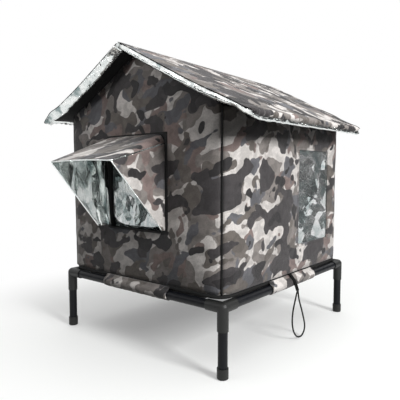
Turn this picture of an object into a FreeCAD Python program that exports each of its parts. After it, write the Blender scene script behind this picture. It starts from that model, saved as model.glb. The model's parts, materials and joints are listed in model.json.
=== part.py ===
import FreeCAD, Part
import math
import os
import Sketcher
from FreeCAD import Placement, Rotation, Vector

# Elevated cat house: a fabric house with a lift-off gable roof on a low tube stand.
# Millimetres, +Z up. The origin is on the floor, under the middle of the stand.
# X runs along the front wall, the doorway faces -Y, the window is in the +X wall.

doc = FreeCAD.newDocument("CatHouse")

# Driving sizes. Each is written once, here, and everything else follows from them.
sizes = {
    # house
    "house_width": 400,
    "house_depth": 450,
    "wall_height": 305,
    "fabric": 1.2,
    "board": 9,
    "corner_round": 8,
    "piping_radius": 1.4,
    "piping_sunk": 0.4,
    "seam_gap": 0.2,
    "floor_thick": 7,
    # stand
    "tube_od": 16,
    "tube_wall": 1,
    "tube_fit": 0.1,
    "tube_end_gap": 0.5,
    "socket_wall": 1.3,
    "socket_block": 9,
    "socket_reach": 31,
    "socket_drop": 38,
    "rail_height": 115,
    "rail_offset": 2,
    "foot_od": 19,
    "foot_height": 17.5,
    "foot_sole": 3.5,
    "foot_bevel": 1.2,
    # roof
    "roof_slope": 28,
    "roof_thick": 10,
    "roof_length": 282,
    "roof_front": 40,
    "roof_rear": 28,
    "roof_corner": 30,
    "eave_reveal": 2,
    "ridge_gap": 0.4,
    "ridge_end": 3.2,
    "hook_thick": 1.5,
    "loop_thick": 1.5,
    "seat_gap": 0.3,
    "strip_width": 6.5,
    "strip_inset": 2,
    "strip_ridge_space": 14,
    "strip_corner_space": 22,
    # doorway
    "door_width": 144,
    "door_height": 166,
    "door_sill": 93,
    "binding_lip": 9,
    "flap_thick": 0.8,
    "flap_side_gap": 2,
    "flap_bottom_gap": 2.5,
    "flap_corner": 26,
    "flap_setback": 4.5,
    "flap_roll_radius": 2,
    "flap_roll_gap": 0.3,
    "header_height": 10,
    "header_depth": 7,
    "header_lip": 0.6,
    # awning
    "awning_reach": 119,
    "awning_rise": 6,
    "awning_drop": 48,
    "awning_crown": 16,
    "awning_front_crown": 2,
    "awning_thick": 3,
    "gusset_thick": 3,
    "gusset_foot": 16,
    "gusset_sill": 3,
    # window
    "window_width": 136,
    "window_height": 190,
    "window_sill": 53,
    "window_back": 98,
    "pane_thick": 0.8,
    "pane_margin": 12,
    "pane_gap": 0.2,
    # sleeves and tie loop
    "sleeve_length": 170,
    "sleeve_tab": 5,
    "cord_diameter": 3,
    "tab_width": 6.6,
    "tab_thick": 3.4,
}
sheet = doc.addObject("Spreadsheet::Sheet", "Sizes")
for row, (alias, size) in enumerate(sizes.items(), start=1):
    sheet.set(f"A{row}", alias)
    sheet.set(f"B{row}", str(size))
    sheet.setAlias(f"B{row}", alias)
doc.recompute()

# Formulas that several pieces share.
half_width = "(Sizes.house_width / 2)"
half_depth = "(Sizes.house_depth / 2)"
wall_thick = "(Sizes.fabric + Sizes.board)"
bore_radius = "(Sizes.tube_od / 2 + Sizes.tube_fit)"
socket_radius = f"({bore_radius} + Sizes.socket_wall)"
sleeve_radius = f"({bore_radius} + Sizes.fabric)"
rail_x = f"({half_width} + Sizes.rail_offset)"
rail_y = f"({half_depth} + Sizes.rail_offset)"
floor_z = f"(Sizes.rail_height + max({socket_radius}; {sleeve_radius}))"
wall_z = f"({floor_z} + Sizes.floor_thick)"
eave_z = f"({wall_z} + Sizes.wall_height)"
gable_z = f"({eave_z} + {half_width} * tan(Sizes.roof_slope))"
hook_rise = "(Sizes.hook_thick / cos(Sizes.roof_slope))"
gap_rise = "(Sizes.seat_gap / cos(Sizes.roof_slope))"
loop_rise = "(Sizes.loop_thick / cos(Sizes.roof_slope))"
ridge_radius = "(Sizes.roof_thick / 2)"
ridge_z = f"({gable_z} + {hook_rise} + {gap_rise} + {loop_rise} + {ridge_radius} / cos(Sizes.roof_slope))"
roof_y_front = f"({half_depth} + Sizes.roof_front)"
roof_y_rear = f"({half_depth} + Sizes.roof_rear)"
door_half = "(Sizes.door_width / 2)"
sill_z = f"({wall_z} + Sizes.door_sill)"
lintel_z = f"({sill_z} + Sizes.door_height)"
hinge_y = f"({half_depth} - Sizes.flap_setback)"
hinge_z = f"({lintel_z} - Sizes.header_height)"
flap_half = f"({door_half} - Sizes.flap_side_gap)"
awning_z = f"({lintel_z} + Sizes.awning_rise)"
awning_back = f"({half_depth} + Sizes.fabric + Sizes.seam_gap)"
awning_edge = f"({awning_back} + Sizes.awning_reach)"
awning_half = f"({door_half} + Sizes.gusset_thick)"
window_z = f"({wall_z} + Sizes.window_sill)"


def value(formula):
    return float(sheet.evalExpression(formula))


def bind(thing, settings):
    for name, formula in settings.items():
        thing.setExpression(name, formula)


def place(thing, x="0", y="0", z="0", axis=None, angle=0.0):
    turn = Rotation(axis, angle) if axis else Rotation()
    thing.Placement = Placement(Vector(value(x), value(y), value(z)), turn)
    bind(thing, {"Placement.Base.x": x, "Placement.Base.y": y, "Placement.Base.z": z})


def new_body(label):
    body = doc.addObject("PartDesign::Body", label)
    body.Label = label
    return body


def new_sketch(body, name, role, offset="0"):
    sketch = body.newObject("Sketcher::SketchObject", name)
    planes = {feature.Role: feature for feature in body.Origin.OriginFeatures}
    sketch.AttachmentSupport = (planes[role], [""])
    sketch.MapMode = "FlatFace"
    sketch.setExpression("AttachmentOffset.Base.z", offset)
    return sketch


def fix_point(sketch, geometry, end, across, up):
    for kind, formula in (("DistanceX", across), ("DistanceY", up)):
        index = sketch.addConstraint(
            Sketcher.Constraint(kind, -1, 1, geometry, end, value(formula))
        )
        sketch.setExpression(f"Constraints[{index}]", formula)


def draw_polygon(sketch, corners):
    points = [Vector(value(u), value(v), 0) for u, v in corners]
    count = len(points)
    first = sketch.GeometryCount
    for i in range(count):
        sketch.addGeometry(Part.LineSegment(points[i], points[(i + 1) % count]))
    for i in range(count):
        following = first + (i + 1) % count
        sketch.addConstraint(Sketcher.Constraint("Coincident", first + i, 2, following, 1))
    for i, (u, v) in enumerate(corners):
        fix_point(sketch, first + i, 1, u, v)


def draw_rectangle(sketch, left, right, low, high):
    draw_polygon(sketch, [(left, low), (right, low), (right, high), (left, high)])


def draw_circle(sketch, radius):
    circle = Part.Circle(Vector(0, 0, 0), Vector(0, 0, 1), value(radius))
    index = sketch.addGeometry(circle)
    sketch.addConstraint(Sketcher.Constraint("Coincident", index, 3, -1, 1))
    size = sketch.addConstraint(Sketcher.Constraint("Radius", index, value(radius)))
    sketch.setExpression(f"Constraints[{size}]", radius)


def crown_outline(half, end_height, crown, thick, spans=8):
    # A bowed strip with upright ends, in straight spans whose corners lie on a parabola.
    shares = [1 - 2 * i / spans for i in range(spans + 1)]
    top = [(f"{share} * {half}", f"{end_height} + {1 - share ** 2} * {crown}") for share in shares]
    under = [(across, f"{up} - {thick}") for across, up in reversed(top)]
    return top + under


def add_pad(body, sketch, length, side="One side", reverse=False):
    pad = body.newObject("PartDesign::Pad", sketch.Name + "Pad")
    pad.Profile = sketch
    pad.SideType = side
    pad.Reversed = reverse
    pad.setExpression("Length", length)
    doc.recompute()
    return pad


def add_pocket(body, sketch, length=None, side="One side", reverse=False):
    pocket = body.newObject("PartDesign::Pocket", sketch.Name + "Pocket")
    pocket.Profile = sketch
    pocket.SideType = side
    pocket.Reversed = reverse
    if length is None:
        pocket.Type = "ThroughAll"
    else:
        pocket.setExpression("Length", length)
    doc.recompute()
    return pocket


def add_fillet(body, feature, radius, chosen):
    names = [f"Edge{i}" for i, edge in enumerate(feature.Shape.Edges, 1) if chosen(edge)]
    fillet = body.newObject("PartDesign::Fillet", feature.Name + "Round")
    fillet.Base = (feature, names)
    fillet.setExpression("Radius", radius)
    doc.recompute()
    return fillet


def upright(edge):
    low, high = edge.Vertexes[0].Point, edge.Vertexes[-1].Point
    return abs(low.x - high.x) < 1e-6 and abs(low.y - high.y) < 1e-6


def box(label, x, y, z):
    # Each of x, y and z is a pair of formulas, the low and the high side.
    solid = doc.addObject("Part::Box", label)
    for name, (low, high) in (("Length", x), ("Width", y), ("Height", z)):
        solid.setExpression(name, f"({high}) - ({low})")
    place(solid, x[0], y[0], z[0])
    return solid


def cylinder(label, radius, height, x="0", y="0", z="0", axis=None, angle=0.0):
    solid = doc.addObject("Part::Cylinder", label)
    bind(solid, {"Radius": radius, "Height": height})
    place(solid, x, y, z, axis, angle)
    return solid


def fuse(label, shapes):
    result = doc.addObject("Part::MultiFuse", label)
    result.Shapes = shapes
    return result


def cut(label, base, tool):
    result = doc.addObject("Part::Cut", label)
    result.Base = base
    result.Tool = tool
    return result


def common(label, base, tool):
    result = doc.addObject("Part::Common", label)
    result.Base = base
    result.Tool = tool
    return result


def group(label, shapes):
    result = doc.addObject("Part::Compound", label)
    result.Links = shapes
    return result


def round_block(label, half_x, half_y, low, high, radius=None):
    body = new_body(label)
    sketch = new_sketch(body, label + "_plan", "XY_Plane", low)
    draw_rectangle(sketch, f"-{half_x}", half_x, f"-{half_y}", half_y)
    pad = add_pad(body, sketch, f"({high}) - ({low})")
    if radius:
        add_fillet(body, pad, radius, upright)
    return body


parts = []

# Floor: a black fabric tray that rests on the stand, and the board that lies in it.
inner_round = "(Sizes.corner_round - Sizes.fabric)"
tray_x = f"({half_width} - Sizes.fabric)"
tray_y = f"({half_depth} - Sizes.fabric)"
tray_block = round_block("tray_block", half_width, half_depth, floor_z, wall_z, "Sizes.corner_round")
tray_room = round_block(
    "tray_room", tray_x, tray_y, f"{floor_z} + Sizes.fabric", f"{wall_z} + 1", inner_round
)
parts.append(cut("floor_cover", tray_block, tray_room))
parts.append(
    round_block(
        "floor_board", f"({tray_x} - Sizes.seam_gap)", f"({tray_y} - Sizes.seam_gap)",
        f"{floor_z} + Sizes.fabric", wall_z, inner_round,
    )
)

# Walls: a fabric layer outside and a foil-faced board inside, mitred at the corners.
tall = f"{gable_z} + Sizes.fabric"
outside = round_block("wall_outside", half_width, half_depth, wall_z, tall, "Sizes.corner_round")
between = round_block("wall_between", tray_x, tray_y, wall_z, tall, inner_round)
inside = round_block(
    "wall_inside", f"({half_width} - {wall_thick})", f"({half_depth} - {wall_thick})", wall_z, tall
)

# Everything above the seat of the roof is cut off the walls.
above = new_body("above_roof_seat")
above_sketch = new_sketch(above, "above_roof_seat_end", "XZ_Plane")
seat_edge = f"({gable_z} - Sizes.house_width * tan(Sizes.roof_slope))"
draw_polygon(above_sketch, [
    ("0", gable_z), ("Sizes.house_width", seat_edge),
    ("Sizes.house_width", f"{gable_z} + Sizes.wall_height"),
    ("-Sizes.house_width", f"{gable_z} + Sizes.wall_height"), ("-Sizes.house_width", seat_edge),
])
add_pad(above, above_sketch, "Sizes.house_depth * 2", "Symmetric")

# Corner piping, sunk in the seam where two covers meet.
piping_reach = "((Sizes.corner_round - Sizes.piping_sunk) * cos(45) - Sizes.corner_round)"
corners = {"front_left": (-1, -1), "front_right": (1, -1), "rear_right": (1, 1), "rear_left": (-1, 1)}
piping_room = []
for corner, (sx, sy) in corners.items():
    px = f"{sx} * ({half_width} + {piping_reach})"
    py = f"{sy} * ({half_depth} + {piping_reach})"
    parts.append(
        cylinder(f"piping_{corner}", "Sizes.piping_radius", "Sizes.wall_height", px, py, wall_z)
    )
    piping_room.append(
        cylinder(
            f"piping_room_{corner}", "Sizes.piping_radius + Sizes.seam_gap",
            "Sizes.wall_height * 2", px, py, wall_z,
        )
    )
wall_waste = fuse("wall_waste", [above] + piping_room)
cover_ring = cut("cover_ring", cut("cover_ring_full", outside, between), wall_waste)
board_ring = cut("board_ring", cut("board_ring_full", between, inside), wall_waste)


def mitre(label, along, across, angle):
    # The share of the rings that belongs to one wall, between 45 degree planes.
    wedge = doc.addObject("Part::Wedge", label)
    depth = f"(2 * {wall_thick})"
    bind(wedge, {
        "Xmin": f"-({along} / 2 + {depth})", "Xmax": f"{along} / 2 + {depth}",
        "X2min": f"-({along} / 2 - {depth})", "X2max": f"{along} / 2 - {depth}",
        "Ymin": f"-({across} / 2 + {depth})", "Ymax": f"-({across} / 2 - {depth})",
        "Zmin": f"{wall_z} - 1", "Z2min": f"{wall_z} - 1",
        "Zmax": f"{tall} + 1", "Z2max": f"{tall} + 1",
    })
    wedge.Placement = Placement(Vector(), Rotation(Vector(0, 0, 1), angle))
    return wedge


door_cut_half = f"({door_half} + Sizes.fabric + Sizes.seam_gap)"
door_cut = box(
    "door_cut", (f"-{door_cut_half}", door_cut_half),
    (f"-({half_depth} + 5)", f"-({half_depth} - {wall_thick} - 5)"),
    (f"{sill_z} - Sizes.fabric - Sizes.seam_gap", f"{lintel_z} + Sizes.fabric + Sizes.seam_gap"),
)
window_low = "(Sizes.window_back - Sizes.window_width / 2)"
window_high = "(Sizes.window_back + Sizes.window_width / 2)"
window_top = f"({window_z} + Sizes.window_height)"
window_cut = box(
    "window_cut", (f"{half_width} - {wall_thick} - 5", f"{half_width} + 5"),
    (window_low, window_high), (window_z, window_top),
)
pane_edge = "(Sizes.pane_margin + Sizes.pane_gap)"
pane_room = box(
    "pane_room", (f"{half_width} - {wall_thick} - 5", f"{half_width} + 5"),
    (f"{window_low} - {pane_edge}", f"{window_high} + {pane_edge}"),
    (f"{window_z} - {pane_edge}", f"{window_top} + {pane_edge}"),
)

wide, deep = "Sizes.house_width", "Sizes.house_depth"
for wall, (along, across, angle, cover_cut, board_cut) in {
    "front": (wide, deep, 0, door_cut, door_cut),
    "right": (deep, wide, 90, window_cut, pane_room),
    "rear": (wide, deep, 180, None, None),
    "left": (deep, wide, 270, None, None),
}.items():
    wedge = mitre(f"{wall}_mitre", along, across, angle)
    for layer, ring, opening in (("cover", cover_ring, cover_cut), ("board", board_ring, board_cut)):
        label = f"{wall}_wall_{layer}"
        if opening:
            whole = common(label + "_whole", ring, wedge)
            parts.append(cut(label, whole, opening))
        else:
            parts.append(common(label, ring, wedge))

# Window pane, sewn behind the right cover in a hole of its board.
pane_face = f"({half_width} - Sizes.fabric - Sizes.pane_gap)"
parts.append(
    box(
        "window_pane",
        (f"{pane_face} - Sizes.pane_thick", pane_face),
        (f"{window_low} - Sizes.pane_margin", f"{window_high} + Sizes.pane_margin"),
        (f"{window_z} - Sizes.pane_margin", f"{window_top} + Sizes.pane_margin"),
    )
)

# Doorway binding: a tape folded over the raw edge of the wall, all round the opening.
wall_back = f"({half_depth} - {wall_thick})"
lip_half = f"({door_half} + Sizes.binding_lip)"
lip_z = (f"{sill_z} - Sizes.binding_lip", f"{lintel_z} + Sizes.binding_lip")
binding_full = fuse("door_binding_full", [
    box("binding_outer_lip", (f"-{lip_half}", lip_half),
        (f"-({half_depth} + Sizes.fabric)", f"-{half_depth}"), lip_z),
    box("binding_tunnel",
        (f"-({door_half} + Sizes.fabric)", f"{door_half} + Sizes.fabric"),
        (f"-({half_depth} + Sizes.fabric)", f"-({wall_back} - Sizes.fabric)"),
        (f"{sill_z} - Sizes.fabric", f"{lintel_z} + Sizes.fabric")),
    box("binding_inner_lip", (f"-{lip_half}", lip_half),
        (f"-{wall_back}", f"-({wall_back} - Sizes.fabric)"), lip_z),
])
doorway = box(
    "doorway", (f"-{door_half}", door_half),
    (f"-({half_depth} + 5)", f"-({wall_back} - 5)"), (sill_z, lintel_z),
)
parts.append(cut("door_binding", binding_full, doorway))

# Clear flap: a sheet with a rolled top hem, hung in a header under the lintel.
flap = new_body("door_flap")
flap_sketch = new_sketch(flap, "door_flap_sheet", "XZ_Plane")
flap_drop = f"({hinge_z} - {sill_z} - Sizes.flap_bottom_gap)"
draw_rectangle(flap_sketch, f"-{flap_half}", flap_half, f"-{flap_drop}", "0")
flap_sheet = add_pad(flap, flap_sketch, "Sizes.flap_thick", "Symmetric")
lowest = flap_sheet.Shape.BoundBox.ZMin
add_fillet(
    flap, flap_sheet, "Sizes.flap_corner",
    lambda edge: abs(edge.BoundBox.YLength - value("Sizes.flap_thick")) < 1e-6
    and edge.BoundBox.ZMax < lowest + 1e-6,
)
roll_sketch = new_sketch(flap, "door_flap_roll", "YZ_Plane")
draw_circle(roll_sketch, "Sizes.flap_roll_radius")
add_pad(flap, roll_sketch, f"2 * {flap_half}", "Symmetric")
place(flap, "0", f"-{hinge_y}", hinge_z)
parts.append(flap)

header_block = box(
    "flap_header_block", (f"-{flap_half}", flap_half),
    (f"-({hinge_y} + Sizes.header_depth / 2)", f"-({hinge_y} - Sizes.header_depth / 2)"),
    (f"{hinge_z} + Sizes.header_lip", lintel_z),
)
header_room = cylinder(
    "flap_header_room", "Sizes.flap_roll_radius + Sizes.flap_roll_gap", f"2 * {door_half}",
    f"-{door_half}", f"-{hinge_y}", hinge_z, Vector(0, 1, 0), 90,
)
parts.append(cut("flap_header", header_block, header_room))

# Awning: a top that is crowned at the wall and flattens to its front edge, and two gussets.
awning = new_body("awning_top")
awning_wall = new_sketch(awning, "awning_wall_end", "XZ_Plane", awning_back)
draw_polygon(awning_wall, crown_outline(
    awning_half, f"({awning_z} - Sizes.awning_crown)", "Sizes.awning_crown", "Sizes.awning_thick",
))
awning_front = new_sketch(awning, "awning_front_end", "XZ_Plane", awning_edge)
draw_polygon(awning_front, crown_outline(
    awning_half, f"({awning_z} - Sizes.awning_drop)", "Sizes.awning_front_crown", "Sizes.awning_thick",
))
doc.recompute()
awning_loft = awning.newObject("PartDesign::AdditiveLoft", "awning_loft")
awning_loft.Profile = awning_wall
awning_loft.Sections = [awning_front]
awning_loft.Ruled = True
doc.recompute()
parts.append(awning)

for side, start in (("left", f"-{awning_half}"), ("right", door_half)):
    gusset = new_body(f"awning_gusset_{side}")
    sketch = new_sketch(gusset, f"awning_gusset_{side}_outline", "YZ_Plane", start)
    under_z = f"{awning_z} - Sizes.awning_thick - Sizes.seam_gap"
    foot_z = f"{sill_z} + Sizes.gusset_sill"
    draw_polygon(sketch, [
        (f"-{awning_back}", f"{under_z} - Sizes.awning_crown"),
        (f"-{awning_edge}", f"{under_z} - Sizes.awning_drop"),
        (f"-({awning_back} + Sizes.gusset_foot)", foot_z),
        (f"-{awning_back}", foot_z),
    ])
    add_pad(gusset, sketch, "Sizes.gusset_thick")
    parts.append(gusset)

# Roof: two padded halves that fold on the rolled seam along the ridge.
ridge_room = f"{ridge_radius} + Sizes.ridge_gap"
for side, sign in (("left", -1), ("right", 1)):
    near = f"{sign} * Sizes.ridge_end"
    for layer in ("cover", "board"):
        label = f"roof_{side}_{layer}"
        body = new_body(label)
        if layer == "cover":
            base, reach = f"-{ridge_radius} + Sizes.eave_reveal", "Sizes.roof_length"
            height = "Sizes.roof_thick - Sizes.eave_reveal"
        else:
            base, reach = f"-{ridge_radius}", "(Sizes.roof_length - Sizes.fabric - Sizes.seam_gap)"
            height = "Sizes.roof_thick - Sizes.fabric"
        far = f"{sign} * {reach}"
        plan = new_sketch(body, label + "_plan", "XY_Plane", base)
        draw_rectangle(plan, near, far, f"-{roof_y_front}", roof_y_rear)
        slab = add_pad(body, plan, height)
        eave = value(far)
        add_fillet(
            body, slab, "Sizes.roof_corner",
            lambda edge: upright(edge) and abs(edge.Vertexes[0].X - eave) < 1e-6,
        )
        if layer == "cover":
            room = new_sketch(body, label + "_board_room", "XY_Plane", f"{ridge_radius} - Sizes.fabric")
            draw_rectangle(
                room, "0", f"{sign} * (Sizes.roof_length - Sizes.fabric)",
                f"-({roof_y_front} + 5)", f"{roof_y_rear} + 5",
            )
            add_pocket(body, room)
        groove = new_sketch(body, label + "_ridge_groove", "XZ_Plane")
        draw_circle(groove, ridge_room)
        add_pocket(body, groove, "4 * Sizes.house_depth", "Symmetric")
        place(body, "0", "0", ridge_z, Vector(0, sign, 0), value("Sizes.roof_slope"))
        body.setExpression("Placement.Rotation.Angle", "Sizes.roof_slope")
        parts.append(body)
parts.append(
    cylinder(
        "ridge_roll", ridge_radius, f"{roof_y_front} + {roof_y_rear}",
        "0", f"-{roof_y_front}", ridge_z, Vector(1, 0, 0), -90,
    )
)

# Hook strips on the wall tops and loop strips under the roof hold the roof on.


def seat_layer(label, low, high):
    body = new_body(label)
    sketch = new_sketch(body, label + "_end", "XZ_Plane")
    fall = "Sizes.house_width * tan(Sizes.roof_slope)"
    draw_polygon(sketch, [
        ("0", low), ("Sizes.house_width", f"{low} - {fall}"),
        ("Sizes.house_width", f"{high} - {fall}"), ("0", high),
        ("-Sizes.house_width", f"{high} - {fall}"), ("-Sizes.house_width", f"{low} - {fall}"),
    ])
    add_pad(body, sketch, "Sizes.house_depth * 2", "Symmetric")
    return body


strip_near = f"({half_depth} - Sizes.strip_inset)"
strip_far = f"({strip_near} - Sizes.strip_width)"
strip_out = f"({half_width} - Sizes.strip_inset)"
strip_in = f"({strip_out} - Sizes.strip_width)"
strip_end = f"({half_width} - Sizes.strip_corner_space)"
strip_side = f"({half_depth} - Sizes.strip_corner_space)"
strip_rows = {}
for side in ("left", "right"):
    gable = ("Sizes.strip_ridge_space", strip_end)
    flank = (strip_in, strip_out)
    if side == "left":
        gable = (f"-{strip_end}", "-Sizes.strip_ridge_space")
        flank = (f"-{strip_out}", f"-{strip_in}")
    height = (wall_z, f"{gable_z} + Sizes.wall_height")
    strip_rows[side] = fuse(f"strip_rows_{side}", [
        box(f"strip_front_{side}", gable, (f"-{strip_near}", f"-{strip_far}"), height),
        box(f"strip_rear_{side}", gable, (strip_far, strip_near), height),
        box(f"strip_flank_{side}", flank, (f"-{strip_side}", strip_side), height),
    ])
loop_low = f"({gable_z} + {hook_rise} + {gap_rise})"
hook_layer = seat_layer("hook_layer", gable_z, f"({gable_z} + {hook_rise})")
loop_layer = seat_layer("loop_layer", loop_low, f"({loop_low} + {loop_rise})")
strip_plan = fuse("strip_plan", list(strip_rows.values()))
parts.append(common("wall_hook_strips", hook_layer, strip_plan))
for side, rows in strip_rows.items():
    parts.append(common(f"roof_{side}_loop_strips", loop_layer, rows))

# Stand: tubes pushed into three-way corner connectors, with a cap on each foot.


def tube(label, length, x, y, z, axis=None, angle=0.0):
    body = new_body(label)
    sketch = new_sketch(body, label + "_section", "XY_Plane")
    draw_circle(sketch, "Sizes.tube_od / 2")
    draw_circle(sketch, "Sizes.tube_od / 2 - Sizes.tube_wall")
    add_pad(body, sketch, length)
    place(body, x, y, z, axis, angle)
    return body


def connector(label, x, y, turn):
    arms = (
        ("Along", Rotation(Vector(0, 1, 0), 90), Vector(1, 0, 0), "Sizes.socket_reach"),
        ("Across", Rotation(Vector(1, 0, 0), -90), Vector(0, 1, 0), "Sizes.socket_reach"),
        ("Down", Rotation(Vector(1, 0, 0), 180), Vector(0, 0, -1), "Sizes.socket_drop"),
    )
    body = new_body(label)
    knuckle = body.newObject("PartDesign::AdditiveSphere", label + "Knuckle")
    knuckle.Placement = Placement(Vector(), Rotation(Vector(1, 1, 0), 90))
    knuckle.setExpression("Radius", socket_radius)
    for name, rotation, heading, reach in arms:
        arm = body.newObject("PartDesign::AdditiveCylinder", label + name)
        arm.Placement = Placement(Vector(), rotation)
        bind(arm, {"Radius": socket_radius, "Height": reach})
    for name, rotation, heading, reach in arms:
        socket = body.newObject("PartDesign::SubtractiveCylinder", label + name + "Socket")
        socket.Placement = Placement(heading * value("Sizes.socket_block"), rotation)
        for axis in "xyz":
            step = getattr(heading, axis)
            socket.setExpression(f"Placement.Base.{axis}", f"{step} * Sizes.socket_block")
        bind(socket, {"Radius": bore_radius, "Height": reach})
    place(body, x, y, "Sizes.rail_height", Vector(0, 0, 1), turn)
    doc.recompute()
    return body


tube_stop = "(Sizes.socket_block + Sizes.tube_end_gap)"
cap_radius = "(Sizes.foot_od / 2)"
connectors, feet = [], []
for index, (corner, (sx, sy)) in enumerate(corners.items()):
    leg_x, leg_y = f"{sx} * {rail_x}", f"{sy} * {rail_y}"
    connectors.append(connector(f"connector_{corner}", leg_x, leg_y, 90 * index))
    leg_length = f"Sizes.rail_height - {tube_stop} - Sizes.foot_sole"
    parts.append(tube(f"leg_{corner}", leg_length, leg_x, leg_y, "Sizes.foot_sole"))
    foot = new_body(f"foot_{corner}")
    profile = new_sketch(foot, f"foot_{corner}_profile", "XZ_Plane")
    draw_polygon(profile, [
        ("0", "0"), (f"{cap_radius} - Sizes.foot_bevel", "0"), (cap_radius, "Sizes.foot_bevel"),
        (cap_radius, "Sizes.foot_height"), (bore_radius, "Sizes.foot_height"),
        (bore_radius, "Sizes.foot_sole"), ("0", "Sizes.foot_sole"),
    ])
    turned = foot.newObject("PartDesign::Revolution", f"foot_{corner}_turned")
    turned.Profile = profile
    turned.ReferenceAxis = (profile, ["V_Axis"])
    place(foot, leg_x, leg_y)
    feet.append(foot)
parts += [group("corner_connectors", connectors), group("foot_caps", feet)]
rail_long = f"2 * ({rail_y} - {tube_stop})"
rail_wide = f"2 * ({rail_x} - {tube_stop})"
rail_start_x, rail_start_y = f"-({rail_x} - {tube_stop})", f"-({rail_y} - {tube_stop})"
along_x, along_y = (Vector(0, 1, 0), 90), (Vector(1, 0, 0), -90)
parts.append(tube("rail_front", rail_wide, rail_start_x, f"-{rail_y}", "Sizes.rail_height", *along_x))
parts.append(tube("rail_rear", rail_wide, rail_start_x, rail_y, "Sizes.rail_height", *along_x))
parts.append(tube("rail_left", rail_long, f"-{rail_x}", rail_start_y, "Sizes.rail_height", *along_y))
parts.append(tube("rail_right", rail_long, rail_x, rail_start_y, "Sizes.rail_height", *along_y))

# Sleeves: fabric wrapped round each rail and sewn to the foot of the wall above it.
for side, x, y, turn in (
    ("front", "0", f"-{rail_y}", 0), ("right", rail_x, "0", 90),
    ("rear", "0", rail_y, 180), ("left", f"-{rail_x}", "0", 270),
):
    sleeve = new_body(f"rail_sleeve_{side}")
    wrap = new_sketch(sleeve, f"rail_sleeve_{side}_wrap", "YZ_Plane")
    draw_circle(wrap, sleeve_radius)
    draw_circle(wrap, bore_radius)
    add_pad(sleeve, wrap, "Sizes.sleeve_length", "Symmetric")
    tab = new_sketch(sleeve, f"rail_sleeve_{side}_tab", "YZ_Plane")
    draw_rectangle(
        tab, "Sizes.rail_offset - Sizes.fabric", "Sizes.rail_offset", bore_radius,
        f"{floor_z} + Sizes.sleeve_tab - Sizes.rail_height",
    )
    add_pad(sleeve, tab, "Sizes.sleeve_length", "Symmetric")
    place(sleeve, x, y, "Sizes.rail_height", Vector(0, 0, 1), turn)
    parts.append(sleeve)

# Tie loop on the right sleeve: two strands stitched into a tab, then one hanging loop of cord.


def rounded_route(points):
    # Straight runs joined by tangent arcs, each as large as its two runs allow.
    edges, radii, start = [], [], points[0]
    for before, corner, after in zip(points, points[1:], points[2:]):
        heading, leaving = corner - before, after - corner
        setback = 0.45 * min(heading.Length, leaving.Length)
        half_turn = heading.getAngle(leaving) / 2
        radius = setback / math.tan(half_turn)
        heading.normalize()
        leaving.normalize()
        inward = leaving - heading
        inward.normalize()
        begin, end = corner - heading * setback, corner + leaving * setback
        middle = corner + inward * (radius / math.cos(half_turn) - radius)
        edges += [Part.LineSegment(start, begin).toShape(), Part.Arc(begin, middle, end).toShape()]
        radii.append(radius)
        start = end
    edges.append(Part.LineSegment(start, points[-1]).toShape())
    return Part.Wire(edges), radii


tab_route = [Vector(201.9, -10, 131.3), Vector(213.6, -10, 123.2), Vector(215.2, 0, 99)]
cord_route = [
    Vector(215.2, 1.7, 99.3), Vector(215.4, 8, 83), Vector(215.8, 20, 63), Vector(216.2, 31, 39),
    Vector(216.4, 38.5, 18), Vector(216.4, 28, 4), Vector(216.2, 9, 3.6), Vector(216, -8, 16),
    Vector(215.8, -16.5, 38), Vector(215.6, -13.5, 61), Vector(215.4, -5.5, 81), Vector(215.2, -1.7, 97.1),
]
cord_sides = 6


def swept(label, corners, path):
    section = Part.makePolygon(corners + corners[:1])
    feature = doc.addObject("Part::Feature", label)
    feature.Shape = path.makePipeShell([section], True, False)
    return feature


tab_path, tab_radii = rounded_route(tab_route)
tab_heading = tab_route[1] - tab_route[0]
wide_way = Vector(-tab_heading.y, tab_heading.x, 0).normalize() * value("Sizes.tab_width / 2")
thick_way = tab_heading.cross(wide_way).normalize() * value("Sizes.tab_thick / 2")
tab_corners = [
    tab_route[0] + wide_way * u + thick_way * v for u, v in ((1, 1), (-1, 1), (-1, -1), (1, -1))
]
parts.append(swept("tie_loop_tab", tab_corners, tab_path))

cord_path, cord_radii = rounded_route(cord_route)
cord_heading = cord_route[1] - cord_route[0]
spoke = Vector(cord_heading.z, 0, -cord_heading.x).normalize() * value("Sizes.cord_diameter / 2")
cord_corners = [
    cord_route[0] + Rotation(cord_heading, 360 * i / cord_sides).multVec(spoke) for i in range(cord_sides)
]
parts.append(swept("tie_loop_cord", cord_corners, cord_path))

doc.recompute()
cord_area = cord_sides / 2 * math.sin(2 * math.pi / cord_sides) * value("Sizes.cord_diameter / 2") ** 2
cord_volume = cord_path.Length * cord_area
print("tab radii", [round(r, 1) for r in tab_radii])
print("cord radii", [round(r, 1) for r in cord_radii], "length", round(cord_path.Length, 1))
print("cord volume over section by length", round(parts[-1].Shape.Volume / cord_volume, 4))
print("ridge axis", round(value(ridge_z), 3), "flap hinge", round(-value(hinge_y), 3), round(value(hinge_z), 3))

for thing in doc.Objects:
    if "Invalid" in thing.State or "Error" in thing.State:
        raise RuntimeError(f"{thing.Label} did not compute: {thing.State}")
os.makedirs("parts", exist_ok=True)
for piece in parts:
    shape = piece.Shape
    if shape.isNull() or not shape.isValid() or not shape.Solids:
        raise RuntimeError(f"{piece.Label} is not a sound solid")
    shape.exportStep(f"parts/{piece.Label}.step")
print("pieces", len(parts))
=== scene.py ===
import json
import math

import bmesh
import bpy
from mathutils import Matrix, Vector, noise


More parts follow.
